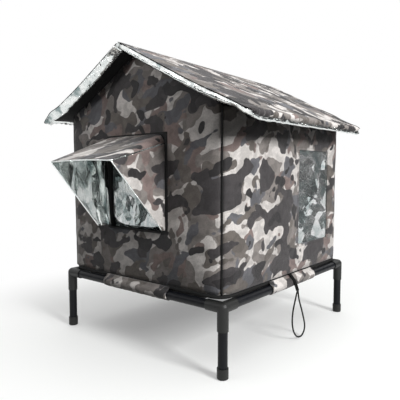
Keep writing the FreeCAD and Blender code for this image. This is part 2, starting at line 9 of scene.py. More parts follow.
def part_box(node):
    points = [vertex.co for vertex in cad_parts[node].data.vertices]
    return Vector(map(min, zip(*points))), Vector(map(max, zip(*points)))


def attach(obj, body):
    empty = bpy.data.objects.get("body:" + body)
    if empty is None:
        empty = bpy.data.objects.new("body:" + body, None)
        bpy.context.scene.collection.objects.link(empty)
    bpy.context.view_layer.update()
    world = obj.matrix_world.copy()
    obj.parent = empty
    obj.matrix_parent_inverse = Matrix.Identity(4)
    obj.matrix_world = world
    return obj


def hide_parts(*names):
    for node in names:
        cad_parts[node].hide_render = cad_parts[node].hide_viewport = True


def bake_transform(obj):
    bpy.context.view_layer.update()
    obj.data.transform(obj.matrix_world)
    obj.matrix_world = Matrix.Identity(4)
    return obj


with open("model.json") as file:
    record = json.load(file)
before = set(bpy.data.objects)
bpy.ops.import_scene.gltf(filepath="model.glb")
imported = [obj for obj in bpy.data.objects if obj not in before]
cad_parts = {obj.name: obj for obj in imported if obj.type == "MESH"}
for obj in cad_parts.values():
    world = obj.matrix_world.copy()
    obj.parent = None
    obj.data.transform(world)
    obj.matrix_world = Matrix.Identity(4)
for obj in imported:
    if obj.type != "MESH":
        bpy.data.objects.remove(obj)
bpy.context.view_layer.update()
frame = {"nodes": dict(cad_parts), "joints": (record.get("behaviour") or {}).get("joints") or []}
scene = bpy.context.scene
print("frame loaded:", len(frame["nodes"]), "nodes")

# camera at the photograph's place
cameraView = {"place": (0.6152, -0.7832, 0.3272), "down": 0.0596, "turn": 0.6912, "lens": 40.0, "sensor": 36.0}
lens = bpy.data.cameras.new("photoCamera")
lens.lens = cameraView["lens"]
lens.sensor_width = cameraView["sensor"]
camera = bpy.data.objects.new("photoCamera", lens)
camera.location = cameraView["place"]
camera.rotation_euler = (math.pi / 2 - cameraView["down"], 0, cameraView["turn"])
scene.collection.objects.link(camera)
scene.camera = camera
scene.view_settings.view_transform = "Standard"

centre = (0.5, 0.5, 0.5)
white = (1, 1, 1, 1)


def srgb(code):
    parts = [int(code[i:i + 2], 16) / 255 for i in (1, 3, 5)]
    return tuple(c / 12.92 if c <= 0.04045 else ((c + 0.055) / 1.055) ** 2.4 for c in parts) + (1.0,)


def addNode(tree, kind, inputs=None, **own):
    node = tree.nodes.new("ShaderNode" + kind)
    for key, value in own.items():
        setattr(node, key, value)
    for key, value in (inputs or {}).items():
        if isinstance(value, bpy.types.NodeSocket):
            tree.links.new(value, node.inputs[key])
        else:
            node.inputs[key].default_value = value
    return node


def calc(tree, operation, *values):
    return addNode(tree, "Math", dict(enumerate(values)), operation=operation).outputs[0]


def vectorCalc(tree, operation, inputs):
    return addNode(tree, "VectorMath", inputs, operation=operation).outputs


def noiseAt(tree, place, scale, detail, **more):
    inputs = {"Vector": place, "Scale": scale, "Detail": detail, **more}
    return addNode(tree, "TexNoise", inputs).outputs["Fac"]


def cellsAt(tree, place, scale):
    return addNode(tree, "TexVoronoi", {"Vector": place, "Scale": scale}).outputs


def mapped(tree, place, **inputs):
    return addNode(tree, "Mapping", {"Vector": place, **inputs}).outputs[0]


def mixColour(tree, factor, a, b, blend="MIX"):
    inputs = {0: factor, 6: a, 7: b}
    return addNode(tree, "Mix", inputs, data_type="RGBA", blend_type=blend).outputs[2]


def mixShader(tree, factor, a, b):
    return addNode(tree, "MixShader", {0: factor, 1: a.outputs[0], 2: b.outputs[0]})


def ramp(tree, value, low, high, toLow=0.0, toHigh=1.0):
    inputs = {0: value, 1: low, 2: high, 3: toLow, 4: toHigh}
    return addNode(tree, "MapRange", inputs, interpolation_type="SMOOTHSTEP").outputs[0]


def newGroup(name, inputs, outputs):
    tree = bpy.data.node_groups.new(name, "ShaderNodeTree")
    for label, kind, start in inputs:
        socket = tree.interface.new_socket(label, in_out="INPUT", socket_type="NodeSocket" + kind)
        if start is not None:
            socket.default_value = start
    for label, kind in outputs:
        tree.interface.new_socket(label, in_out="OUTPUT", socket_type="NodeSocket" + kind)
    return tree, tree.nodes.new("NodeGroupInput").outputs, tree.nodes.new("NodeGroupOutput").inputs


def useGroup(tree, group, **inputs):
    return addNode(tree, "Group", inputs, node_tree=group).outputs


def newMaterial(name, **sockets):
    material = bpy.data.materials.new(name)
    material.use_nodes = True
    tree = material.node_tree
    shader = tree.nodes["Principled BSDF"]
    for label, value in sockets.items():
        shader.inputs[label.replace("_", " ")].default_value = value
    place = addNode(tree, "TexCoord").outputs["Object"]
    return material, tree, shader, place


def paint(tree, shader, factor, colours):
    tree.links.new(mixColour(tree, factor, *map(srgb, colours)), shader.inputs["Base Color"])


def bumpNormal(tree, shader, height, distance=1.0):
    bump = addNode(tree, "Bump", {"Height": height, "Strength": 1.0, "Distance": distance})
    tree.links.new(bump.outputs[0], shader.inputs["Normal"])


# printed camouflage, laid down colour by colour on a pale ground
camoPrint = {
    "turn": (math.radians(-19.29), 0, math.radians(-46.65)),
    "stretch": (0.36, 1.0, 1.0),
    "warp": 0.008, "warpSize": 0.040,
    "lobe": 0.09, "lobeSize": 0.015, "lobeReach": 0.45,
    "ground": "#d1ccc8",
    "edge": 0.006,
    # colour, patch size in metres, share threshold, where in the noise
    "patches": [
        ("#857f7b", 0.042, 0.490, 3.1),
        ("#82736f", 0.038, 0.590, 11.7),
        ("#646468", 0.039, 0.590, 23.9),
        ("#6a645f", 0.036, 0.575, 31.3),
        ("#423f40", 0.040, 0.560, 47.0),
        ("#2e2c2d", 0.036, 0.625, 58.6),
    ],
    "patchDetail": 1.2, "patchNoise": {"Roughness": 0.4, "Distortion": 0.3},
    # scale and detail of a noise, and the shade that its range is mapped to
    "yarn": ((420.0, 2.0), (0.3, 0.7, 0.9, 1.08)),
    "mottle": ((75.0, 1.0), (0.4, 0.6, 0.82, 1.08)),
}


def makeCamo(own):
    tree, given, gives = newGroup("camoPrint", [("Vector", "Vector", None)], [("Color", "Color")])
    turned = mapped(tree, given[0], Rotation=own["turn"])
    long = mapped(tree, turned, Scale=own["stretch"])
    warpInputs = {"Vector": long, "Scale": 1 / own["warpSize"], "Detail": 1.0}
    warp = addNode(tree, "TexNoise", warpInputs).outputs["Color"]
    centred = vectorCalc(tree, "SUBTRACT", {0: warp, 1: centre})[0]
    pushed = vectorCalc(tree, "SCALE", {0: centred, 3: own["warp"] * 2})[0]
    spot = vectorCalc(tree, "ADD", {0: long, 1: pushed})[0]
    # round lobes along the edges of the patches
    lobes = cellsAt(tree, given[0], 1 / own["lobeSize"])["Distance"]
    scallop = calc(tree, "MULTIPLY", calc(tree, "SUBTRACT", own["lobeReach"], lobes), own["lobe"])
    colour = srgb(own["ground"])
    for code, size, share, seed in own["patches"]:
        moved = vectorCalc(tree, "ADD", {0: spot, 1: (seed, seed * 0.37, -seed * 0.61)})[0]
        patch = noiseAt(tree, moved, 1 / size, own["patchDetail"], **own["patchNoise"])
        mask = ramp(tree, calc(tree, "ADD", patch, scallop), share - own["edge"], share + own["edge"])
        colour = mixColour(tree, mask, colour, srgb(code))
    (yarn, yarnSpan), (mottle, mottleSpan) = own["yarn"], own["mottle"]
    shade = calc(tree, "MULTIPLY", ramp(tree, noiseAt(tree, given[0], *yarn), *yarnSpan),
                 ramp(tree, noiseAt(tree, spot, *mottle), *mottleSpan))
    grey = addNode(tree, "CombineColor", {0: shade, 1: shade, 2: shade}).outputs[0]
    tree.links.new(mixColour(tree, 1.0, colour, grey, "MULTIPLY"), gives[0])
    return tree


# height of a woven cloth
plainWeave = {"pitch": 0.0009, "yarn": 0.00004, "rumple": 0.0012, "rumpleNoise": (55.0, 3.0)}


def makeWeave(own):
    inputs = [("Vector", "Vector", None), ("Pitch", "Float", own["pitch"])]
    tree, given, gives = newGroup("plainWeave", inputs, [("Height", "Float")])
    total = None
    for axis in addNode(tree, "SeparateXYZ", {0: given[0]}).outputs:
        wave = calc(tree, "SINE", calc(tree, "DIVIDE", calc(tree, "MULTIPLY", axis, math.tau), given[1]))
        total = wave if total is None else calc(tree, "ADD", total, wave)
    fine = calc(tree, "MULTIPLY", total, own["yarn"])
    rumple = calc(tree, "MULTIPLY", noiseAt(tree, given[0], *own["rumpleNoise"]), own["rumple"])
    tree.links.new(calc(tree, "ADD", fine, rumple), gives[0])
    return tree


# facets of crinkled foil, large ones with finer ones on them
foilCrinkle = {"Size": 0.018, "Tilt": 0.5, "Fine": 0.5}
fineFacets = 0.33


def makeFoil(own):
    inputs = [("Vector", "Vector", None)] + [(label, "Float", start) for label, start in own.items()]
    tree, given, gives = newGroup("foilCrinkle", inputs, [("Height", "Float"), ("Tint", "Float")])
    total, tint = None, None
    for share, depth in ((1.0, 1.0), (fineFacets, given[3])):
        cells = cellsAt(tree, given[0], calc(tree, "DIVIDE", 1.0, calc(tree, "MULTIPLY", given[1], share)))
        lean = vectorCalc(tree, "SUBTRACT", {0: cells["Color"], 1: centre})[0]
        away = vectorCalc(tree, "SUBTRACT", {0: given[0], 1: cells["Position"]})[0]
        facet = vectorCalc(tree, "DOT_PRODUCT", {0: lean, 1: away})["Value"]
        rise = calc(tree, "MULTIPLY", facet, calc(tree, "MULTIPLY", given[2], depth))
        total = rise if total is None else calc(tree, "ADD", total, rise)
        tint = tint or addNode(tree, "SeparateColor", {0: cells["Color"]}).outputs[0]
    tree.links.new(total, gives[0])
    tree.links.new(tint, gives[1])
    return tree


camoGroup, weaveGroup, foilGroup = makeCamo(camoPrint), makeWeave(plainWeave), makeFoil(foilCrinkle)

# shader sockets of each material and what its textures need
camoCloth = {"Roughness": 0.56, "Specular_IOR_Level": 0.17, "Sheen_Weight": 0.17, "Sheen_Roughness": 0.5}
blackCloth = {
    "sockets": {"Roughness": 0.8, "Specular_IOR_Level": 0.25}, "noise": (300.0, 2.0),
    "colours": ("#0b0b0b", "#181818"), "pitch": 0.0011,
}
# the teal-grey patches laid over the silver foil are a painted reflection of the dark room in the foil
foilFinish = {
    "silver": ("#dbe1e0", "#f6f8f6"), "paintedReflection": "#8d9b9b", "paintedReflectionNoise": (28.0, 2.0), "paintedReflectionEdge": 0.1,
    "rough": (0.06, 0.14),
}
foilKinds = {
    "foil": {"name": "silverFoil", "draw": (1, 1, 1), "paintedReflectionFrom": 0.62,
             "crinkle": {"Size": 0.012, "Tilt": 0.22, "Fine": 0.5}},
    "creased": {"name": "creasedFoil", "draw": (1, 1, 0.30), "paintedReflectionFrom": 0.58,
                "crinkle": {"Size": 0.028, "Tilt": 0.62, "Fine": 0.25}},
}
# the vinyl's colour carries a painted sheen: swirled patches mixed towards white by a noise
clearVinyl = {
    "sockets": {"Transmission_Weight": 0.8, "Metallic": 0.5, "IOR": 1.5, "Roughness": 0.07},
    "draw": (1, 0.45, 0.7), "folds": {"Size": 0.024, "Tilt": 0.45, "Fine": 0.35}, "paintedSheenNoise": (30.0, 2.0),
    "swirl": 1.2, "paintedSheenSpan": (0.38, 0.62), "colours": ("#d0dada", "#fdfefe"),
}
braidedCord = {
    "sockets": {"Roughness": 0.8, "Specular_IOR_Level": 0.2}, "wave": {"Scale": 260.0, "Distortion": 1.0},
    "colours": ("#020202", "#0a0a0a"), "bump": 0.0005,
}
# two colours mixed by one fine noise, which may also carry the roughness and the height
grainKinds = {
    "tape": {"name": "hookLoopTape", "sockets": {"Roughness": 0.9, "Sheen_Weight": 0.4}, "noise": (900.0, 3.0),
             "colours": ("#101010", "#3a3a3a"), "bump": 0.0012},
    "tube": {"name": "coatedTube", "sockets": {"Roughness": 0.34, "Specular_IOR_Level": 0.2},
             "noise": (240.0, 2.0), "colours": ("#08090c", "#101218"), "rough": (0.3, 0.7, 0.28, 0.42),
             "bump": 0.0002},
    "plastic": {"name": "mouldedPlastic", "sockets": {"Roughness": 0.42, "Specular_IOR_Level": 0.4},
                "noise": (620.0, 3.0), "colours": ("#0b0c0b", "#1a1b1a"), "rough": (0.3, 0.7, 0.36, 0.52),
                "bump": 0.00025},
    "thread": {"name": "sewingThread", "sockets": {"Roughness": 0.6, "Specular_IOR_Level": 0.3},
               "noise": (1500.0, 1.0), "colours": ("#171616", "#393635")},
}


def makeMaterials():
    made = {}
    made["camo"], tree, shader, place = newMaterial("camoCloth", **camoCloth)
    tree.links.new(useGroup(tree, camoGroup, Vector=place)["Color"], shader.inputs["Base Color"])
    bumpNormal(tree, shader, useGroup(tree, weaveGroup, Vector=place)["Height"])

    made["black"], tree, shader, place = newMaterial("blackCloth", **blackCloth["sockets"])
    paint(tree, shader, noiseAt(tree, place, *blackCloth["noise"]), blackCloth["colours"])
    bumpNormal(tree, shader, useGroup(tree, weaveGroup, Vector=place, Pitch=blackCloth["pitch"])["Height"])

    for label, kind in foilKinds.items():
        made[label], tree, shader, place = newMaterial(kind["name"], Metallic=1.0)
        drawn = mapped(tree, place, Scale=kind["draw"])
        foil = useGroup(tree, foilGroup, Vector=drawn, **kind["crinkle"])
        silver = mixColour(tree, foil["Tint"], *map(srgb, foilFinish["silver"]))
        # painted reflection: teal-grey patches mixed into the foil's colour by a noise
        paintedReflection = ramp(tree, noiseAt(tree, drawn, *foilFinish["paintedReflectionNoise"]), kind["paintedReflectionFrom"],
                     kind["paintedReflectionFrom"] + foilFinish["paintedReflectionEdge"])
        withPaintedReflection = mixColour(tree, paintedReflection, silver, srgb(foilFinish["paintedReflection"]))
        tree.links.new(withPaintedReflection, shader.inputs["Base Color"])
        tree.links.new(ramp(tree, foil["Tint"], 0.0, 1.0, *foilFinish["rough"]), shader.inputs["Roughness"])
        bumpNormal(tree, shader, foil["Height"])

    made["clear"], tree, shader, place = newMaterial("clearVinyl", **clearVinyl["sockets"])
    drawn = mapped(tree, place, Scale=clearVinyl["draw"])
    folds = useGroup(tree, foilGroup, Vector=drawn, **clearVinyl["folds"])
    # painted sheen: a swirled noise mixes the vinyl's colour between greenish grey and white
    paintedSheen = noiseAt(tree, drawn, *clearVinyl["paintedSheenNoise"], Distortion=clearVinyl["swirl"])
    paint(tree, shader, ramp(tree, paintedSheen, *clearVinyl["paintedSheenSpan"]), clearVinyl["colours"])
    bumpNormal(tree, shader, folds["Height"])

    made["cord"], tree, shader, place = newMaterial("braidedCord", **braidedCord["sockets"])
    strand = addNode(tree, "TexWave", {"Vector": place, **braidedCord["wave"]},
                     bands_direction="DIAGONAL").outputs["Fac"]
    paint(tree, shader, strand, braidedCord["colours"])
    bumpNormal(tree, shader, strand, braidedCord["bump"])

    for label, kind in grainKinds.items():
        made[label], tree, shader, place = newMaterial(kind["name"], **kind["sockets"])
        grain = noiseAt(tree, place, *kind["noise"])
        paint(tree, shader, grain, kind["colours"])
        if "rough" in kind:
            tree.links.new(ramp(tree, grain, *kind["rough"]), shader.inputs["Roughness"])
        if "bump" in kind:
            bumpNormal(tree, shader, grain, kind["bump"])
    return made


finish = makeMaterials()
print("materials made:", len(finish))

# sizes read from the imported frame
hinges = {joint["name"]: Vector(joint["pos_m"]) for joint in frame["joints"] if "pos_m" in joint}
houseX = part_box("right_wall_cover")[1].x
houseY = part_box("rear_wall_cover")[1].y
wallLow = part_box("front_wall_cover")[0].z
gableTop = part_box("front_wall_cover")[1].z
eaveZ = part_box("piping_front_right")[1].z
slope = math.atan((gableTop - eaveZ) / houseX)
ridgeZ = hinges["ridge_fold"].z
# points closer than this are one point
tiny = 1e-6


def ease(value, low, high):
    t = min(max((value - low) / (high - low), 0.0), 1.0)
    return t * t * (3 - 2 * t)


def ripple(point, size, seed=0.0):
    return noise.noise(Vector(point) / size + Vector((seed, seed * 1.7, -seed)))


def crinkle(point, size, seed=0.0):
    spot = Vector(point) / size + Vector((seed, -seed, seed * 0.5))
    near = noise.voronoi(spot)[1][0]
    lean = noise.cell_vector(near * 9.7) - Vector(centre)
    return lean.dot(spot - near) * 2


def pick(pair, sign):
    # pairs are for the left and the right side
    return pair[0 if sign < 0 else 1]


def gridMesh(columns, rows):
    bm = bmesh.new()
    bmesh.ops.create_grid(bm, x_segments=columns, y_segments=rows, size=1)
    return bm


def shares(vert):
    # the place of a point in its grid, 0 to 1 both ways
    return (vert.co.x + 1) / 2, (vert.co.y + 1) / 2


def boxMesh(size, middle):
    bm = bmesh.new()
    bmesh.ops.create_cube(bm, size=1)
    bmesh.ops.scale(bm, verts=bm.verts[:], vec=size)
    bmesh.ops.translate(bm, verts=bm.verts[:], vec=middle)
    return bm


def roundEdges(bm, edges, offset, segments):
    bmesh.ops.bevel(bm, geom=edges, offset=offset, segments=segments, profile=0.5, affect="EDGES", material=-1)


def cutAcross(bm, point, direction, dropOuter=False):
    bmesh.ops.bisect_plane(bm, geom=bm.verts[:] + bm.edges[:] + bm.faces[:], dist=tiny,
                           plane_co=point, plane_no=direction, clear_outer=dropOuter)


def closeUp(bm):
    bmesh.ops.remove_doubles(bm, verts=bm.verts[:], dist=tiny)


def faceOut(bm):
    bmesh.ops.recalc_face_normals(bm, faces=bm.faces[:])


def sheetArea(bm):
    return sum(face.calc_area() for face in bm.faces)


def meshObject(name, bm, materials):
    mesh = bpy.data.meshes.new(name)
    bm.to_mesh(mesh)
    for material in materials:
        mesh.materials.append(material)
    made = bpy.data.objects.new(name, mesh)
    scene.collection.objects.link(made)
    return made


def addPiece(name, bm, materials, nodes=(), body="house"):
    piece = meshObject(name, bm, [finish[label] for label in materials])
    bm.free()
    piece.data.polygons.foreach_set("use_smooth", [True] * len(piece.data.polygons))
    if body:
        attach(piece, body)
    if nodes:
        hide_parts(*nodes)
    return piece


def thicken(piece, depth, inner=0, rim=0, offset=-1.0, even=True):
    shell = piece.modifiers.new("thickness", "SOLIDIFY")
    shell.thickness = depth
    shell.offset = offset
    shell.use_even_offset = even
    shell.material_offset = inner
    shell.material_offset_rim = rim


def tubeMesh(columns, rows, placeAt, closeEnds=True):
    # a grid rolled into a tube: placeAt(turn 0..1, along 0..1)
    bm = gridMesh(columns, rows)
    for vert in bm.verts:
        vert.co = placeAt(*shares(vert))
    closeUp(bm)
    if closeEnds:
        bmesh.ops.holes_fill(bm, edges=[e for e in bm.edges if e.is_boundary], sides=0)
    faceOut(bm)
    return bm


# thread of the sewn rows
thread = {"thick": 0.0007, "length": 0.0028, "pitch": 0.0042}


def addStitches(name, line, body, own):
    # even stitches along a line of points
    spots, left = [], own["pitch"] / 2
    for start, end in zip(line, line[1:]):
        way = end - start
        while left < way.length:
            spots.append((start + way * (left / way.length), way))
            left += own["pitch"]
        left -= way.length
    size = Vector((own["thick"], own["thick"], own["length"]))
    bm = bmesh.new()
    for spot, way in spots:
        bmesh.ops.create_icosphere(bm, subdivisions=1, radius=0.5,
                                   matrix=Matrix.LocRotScale(spot, way.to_track_quat("Z", "Y"), size))
    addPiece(name, bm, ["thread"], body=body)


# hanging tie loop, a few millimetres beside the part's cord to follow the photograph; routes in millimetres
tieLoop = {
    "route": [(215.2, 1.7, 99.3), (215.4, 4, 83), (215.8, 14, 63), (216.2, 25, 39), (216.4, 32.5, 18),
              (216.4, 22, 4), (216.2, 3, 3.6), (216, -14, 16), (215.8, -22.5, 38), (215.6, -19.5, 61),
              (215.4, -9.5, 81), (215.2, -1.7, 97.1)],
    "tabRoute": [(201.9, -10, 131.3), (213.6, -10, 123.2), (215.2, 0, 99)],
    "thick": 0.003, "length": 0.228, "tabStrand": 0.0040, "tabSpread": 0.0023,
}


def nurbsLine(name, routes, thick):
    curve = bpy.data.curves.new(name, "CURVE")
    curve.dimensions = "3D"
    for route in routes:
        line = curve.splines.new("NURBS")
        line.points.add(len(route) - 1)
        for point, spot in zip(line.points, route):
            point.co = (*[c / 1000 for c in spot], 1)
        line.order_u = 3
        line.use_endpoint_u = True
        line.resolution_u = 8
    curve.bevel_depth = thick / 2
    curve.bevel_resolution = 3
    curve.use_fill_caps = True
    curve.materials.append(finish["cord"])
    piece = bpy.data.objects.new(name, curve)
    scene.collection.objects.link(piece)
    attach(piece, "house")
    return piece


tieCord = nurbsLine("tieCord", [tieLoop["route"]], tieLoop["thick"])
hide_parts("tie_loop_cord")
spread = tieLoop["tabSpread"] * 1000
tabRoutes = [[(x, y + shift, z) for x, y, z in tieLoop["tabRoute"]] for shift in (-spread, spread)]
tieTab = nurbsLine("tieTab", tabRoutes, tieLoop["tabStrand"])
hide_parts("tie_loop_tab")
print("tie loop hung")

# padded wall covers
wallCover = {
    "fabric": 0.0012, "step": 0.0065, "round": 0.026, "sewnRoom": 0.0095, "cornerHold": 0.001, "puff": 0.0020,
    "puffEdge": 0.026, "billow": 0.0012, "billowSize": 0.12, "billowEdge": 0.02, "wrinkle": 0.0007,
    "wrinkleSize": 0.028, "wrinkleEdge": 0.012, "wrinkleDraw": 0.6, "doorSeam": 0.006, "doorSill": 0.007,
    "paneSeam": 0.012,
}
doorLow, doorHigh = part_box("door_binding")
paneLow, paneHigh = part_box("window_pane")
doorSeam, paneSeam = wallCover["doorSeam"], wallCover["paneSeam"]
# half width, distance from the middle of the house, and the hole's sides, bottom and top
wallPieces = {
    "front": {"turn": 0, "half": houseX, "reach": houseY, "gable": True,
              "hole": (doorLow.x + doorSeam, doorHigh.x - doorSeam,
                       doorLow.z + wallCover["doorSill"], doorHigh.z - doorSeam)},
    "right": {"turn": 90, "half": houseY, "reach": houseX, "gable": False,
              "hole": (paneLow.y + paneSeam, paneHigh.y - paneSeam, paneLow.z + paneSeam, paneHigh.z - paneSeam)},
    "rear": {"turn": 180, "half": houseX, "reach": houseY, "gable": True, "hole": None},
    "left": {"turn": 270, "half": houseY, "reach": houseX, "gable": False, "hole": None},
}


def flatPanel(half, low, high, step, gable, hole):
    bm = gridMesh(round(2 * half / step), round((high - low) / step))
    for vert in bm.verts:
        vert.co = Vector((vert.co.x * half, 0, low + shares(vert)[1] * (high - low)))
    if gable:
        for side in (-1, 1):
            cutAcross(bm, (0, 0, high), (side * math.sin(slope), 0, math.cos(slope)), True)
    if hole:
        for x in hole[:2]:
            cutAcross(bm, (x, 0, 0), (1, 0, 0))
        for z in hole[2:]:
            cutAcross(bm, (0, 0, z), (0, 0, 1))
        middles = [(face, face.calc_center_median()) for face in bm.faces]
        inside = [face for face, spot in middles if hole[0] < spot.x < hole[1] and hole[2] < spot.z < hole[3]]
        bmesh.ops.delete(bm, geom=inside, context="FACES")
    return bm


def edgeRoom(x, z, half, low, high, gable, hole):
    # how far a point of the panel is from its nearest sewn edge
    room = min(half - abs(x), z - low)
    room = min(room, (high - z - abs(x) * math.tan(slope)) * math.cos(slope) if gable else high - z)
    if hole:
        gapX = max(hole[0] - x, x - hole[1], 0)
        gapZ = max(hole[2] - z, z - hole[3], 0)
        room = min(room, math.hypot(gapX, gapZ))
    return max(room, 0)


# the soft walls stand a little wider than the stand at two corners
wallLean = {
    "left": 0.003, "leftTop": 0.006, "leftFrom": (0.085, -0.05), "rearTop": 0.005, "rearFrom": (0.05, 0.17),
}


def leanOut(bm, own):
    (leftX, leftY), (rearX, rearY) = own["leftFrom"], own["rearFrom"]
    for vert in bm.verts:
        x, y, z = vert.co
        rise = min(max((z - wallLow) / (eaveZ - wallLow), 0), 1)
        aside = own["left"] + own["leftTop"] * rise
        vert.co.x -= aside * ease(-x, leftX, houseX) * ease(-y, leftY, houseY)
        vert.co.y += own["rearTop"] * rise * ease(x, rearX, houseX) * ease(y, rearY, houseY)


def turnWall(bm, spec):
    # walls are made facing the front and turned to their side
    turn = Matrix.Rotation(math.radians(spec["turn"]), 3, "Z")
    bmesh.ops.rotate(bm, verts=bm.verts[:], cent=(0, 0, 0), matrix=turn)
    leanOut(bm, wallLean)


# air under the cloth fills it out between its sewn edges
clothFill = {"frames": 20, "cap": 0.0055, "least": 1e-7}
clothRules = {
    "quality": 6, "mass": 0.002, "tension_stiffness": 60.0, "compression_stiffness": 60.0,
    "shear_stiffness": 15.0, "bending_stiffness": 0.2, "shrink_min": -0.002, "use_pressure": True,
    "uniform_pressure_force": 4.0, "vertex_group_mass": "sewn",
}


def fillCloth(bm, sewn, own):
    trial = meshObject("fillCloth", bm, [])
    trial.vertex_groups.new(name="sewn").add(sewn, 1.0, "REPLACE")
    cloth = trial.modifiers.new("cloth", "CLOTH")
    for rule, value in clothRules.items():
        setattr(cloth.settings, rule, value)
    cloth.settings.effector_weights.gravity = 0
    cloth.collision_settings.use_collision = False
    for step in range(1, own["frames"] + 1):
        scene.frame_set(step)
    shaped = trial.evaluated_get(bpy.context.evaluated_depsgraph_get()).data
    bm.normal_update()
    most, cap = 0.0, own["cap"]
    for vert, after in zip(bm.verts, shaped.vertices):
        move = after.co - vert.co
        # moves into the house are left out
        move -= vert.normal * min(move.dot(vert.normal), 0)
        most = max(most, move.length)
        if move.length > own["least"]:
            vert.co += move * cap * math.tanh(move.length / cap) / move.length
    scene.frame_set(1)
    mesh = trial.data
    bpy.data.objects.remove(trial)
    bpy.data.meshes.remove(mesh)
    print("cloth filled, moved at most", round(most * 1000, 1), "mm before its limit")


def makeWall(side, spec, own):
    half, hole, curve = spec["half"], spec["hole"], own["round"]
    high = gableTop if spec["gable"] else eaveZ
    flatHalf = half - curve * (1 - math.pi / 4)
    bm = flatPanel(flatHalf, wallLow, high, own["step"], spec["gable"], hole)
    area = sheetArea(bm)
    seed = spec["turn"] / 10
    sewn = []
    for index, vert in enumerate(bm.verts):
        x, z = vert.co.x, vert.co.z
        room = edgeRoom(x, z, flatHalf, wallLow, high, spec["gable"], hole)
        if room < own["sewnRoom"] or abs(x) > half - curve - own["cornerHold"]:
            sewn.append(index)
        billow = ripple((x, seed, z), own["billowSize"], seed) * ease(room, 0, own["billowEdge"])
        wrinkle = ripple((x * own["wrinkleDraw"], seed, z), own["wrinkleSize"], seed + 5)
        out = own["puff"] * ease(room, 0, own["puffEdge"]) + own["billow"] * billow
        out += own["wrinkle"] * wrinkle * ease(room, 0, own["wrinkleEdge"])
        bend = max(abs(x) - (half - curve), 0) / curve
        across = math.copysign(min(abs(x), half - curve) + curve * math.sin(bend), x)
        vert.co = Vector((across, -(spec["reach"] - curve * (1 - math.cos(bend)) + max(out, 0)), z))
    turnWall(bm, spec)
    fillCloth(bm, sewn, clothFill)
    piece = addPiece(side + "WallCover", bm, ["camo", "black"], [side + "_wall_cover"])
    thicken(piece, own["fabric"])


for wallSide, wallSpec in wallPieces.items():
    makeWall(wallSide, wallSpec, wallCover)
print("wall covers sewn")

# foil-faced foam boards inside the walls
wallLining = {
    "step": 0.008, "inner": 0.0102, "gap": 0.0004, "topTrim": 0.0006, "crinkle": 0.0011, "size": 0.022,
    "crinkleEdge": 0.01,
}


def foamSlab(bm, depth, rows):
    # gives a flat grid its thickness, with rows of faces round its edge
    grown = bmesh.ops.extrude_face_region(bm, geom=bm.faces[:])
    moved = [v for v in grown["geom"] if isinstance(v, bmesh.types.BMVert)]
    bmesh.ops.translate(bm, verts=moved, vec=depth)
    if rows > 1:
        far = set(moved)
        across = [e for e in bm.edges if (e.verts[0] in far) != (e.verts[1] in far)]
        bmesh.ops.subdivide_edges(bm, edges=across, cuts=rows - 1, use_grid_fill=True)
    faceOut(bm)


def makeLining(side, spec, own):
    low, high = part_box(side + "_wall_board")
    inner, gap, curve = own["inner"], own["gap"], wallCover["round"]
    depth = inner - wallCover["fabric"] - gap
    half = spec["half"] - inner - (gap if spec["gable"] else 0)
    top = high.z - own["topTrim"]
    hole = (paneLow.y, paneHigh.y, paneLow.z, paneHigh.z) if side == "right" else spec["hole"]
    bm = flatPanel(half, low.z + gap, top, own["step"], spec["gable"], hole)
    innerY = inner - spec["reach"]
    for vert in bm.verts:
        vert.co.y = innerY
    foamSlab(bm, (0, -depth, 0), 1)
    for vert in bm.verts:
        x, y, z = vert.co
        if y < innerY - depth / 2:
            # the board thins out under the rounded corner of its cover
            bend = max(abs(x) - (spec["half"] - curve), 0)
            vert.co.y += curve - math.sqrt(curve ** 2 - bend ** 2)
        else:
            room = edgeRoom(x, z, half, low.z, top, spec["gable"], hole)
            fold = 0.5 + 0.5 * crinkle((x, spec["turn"], z), own["size"])
            vert.co.y -= own["crinkle"] * fold * ease(room, 0, own["crinkleEdge"])
    turnWall(bm, spec)
    piece = addPiece(side + "WallBoard", bm, ["foil"], [side + "_wall_board"])


for wallSide, wallSpec in wallPieces.items():
    makeLining(wallSide, wallSpec, wallLining)
print("wall boards lined")

# floor tray and its board
floorTray = {
    "round": 0.026, "edge": 0.0016, "wall": 0.0012, "sag": 0.008, "sagCuts": (0.0015, 0.0045, 0.0075),
    "sagEdge": 0.011, "cornerRoom": 0.050, "cornerFade": 0.008,
}
floorBoard = {"gap": 0.0004, "trim": 0.0006, "crinkle": 0.0009, "size": 0.024, "most": 0.4}


def makeTray(own):
    low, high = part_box("floor_cover")
    bm = boxMesh(high - low, (low + high) / 2)
    upright = [e for e in bm.edges if abs(e.verts[0].co.z - e.verts[1].co.z) > tiny]
    roundEdges(bm, upright, own["round"], 6)
    bm.normal_update()
    top = [f for f in bm.faces if f.normal.z > 0.9]
    bmesh.ops.inset_region(bm, faces=top, thickness=own["wall"], use_even_offset=True)
    floorVerts = list({v for f in top for v in f.verts})
    bmesh.ops.translate(bm, verts=floorVerts, vec=(0, 0, -(high.z - low.z - own["wall"])))
    under = [e for e in bm.edges if all(v.co.z < low.z + tiny for v in e.verts)]
    roundEdges(bm, under, own["edge"], 3)
    cornerFrom = own["cornerRoom"] - own["cornerFade"]
    for sign in (-1, 1):
        for cut in (*own["sagCuts"], own["sagEdge"], cornerFrom, own["cornerRoom"]):
            cutAcross(bm, (sign * (high.x - cut), 0, 0), (1, 0, 0))
            cutAcross(bm, (0, sign * (high.y - cut), 0), (0, 1, 0))
    for vert in bm.verts:
        if vert.co.z < low.z + tiny:
            nearX, nearY = high.x - abs(vert.co.x), high.y - abs(vert.co.y)
            sag = own["sag"] * ease(min(nearX, nearY), own["sagCuts"][0], own["sagEdge"])
            vert.co.z -= sag * ease(max(nearX, nearY), cornerFrom, own["cornerRoom"])
    tray = addPiece("floorTray", bm, ["black"], ["floor_cover"])


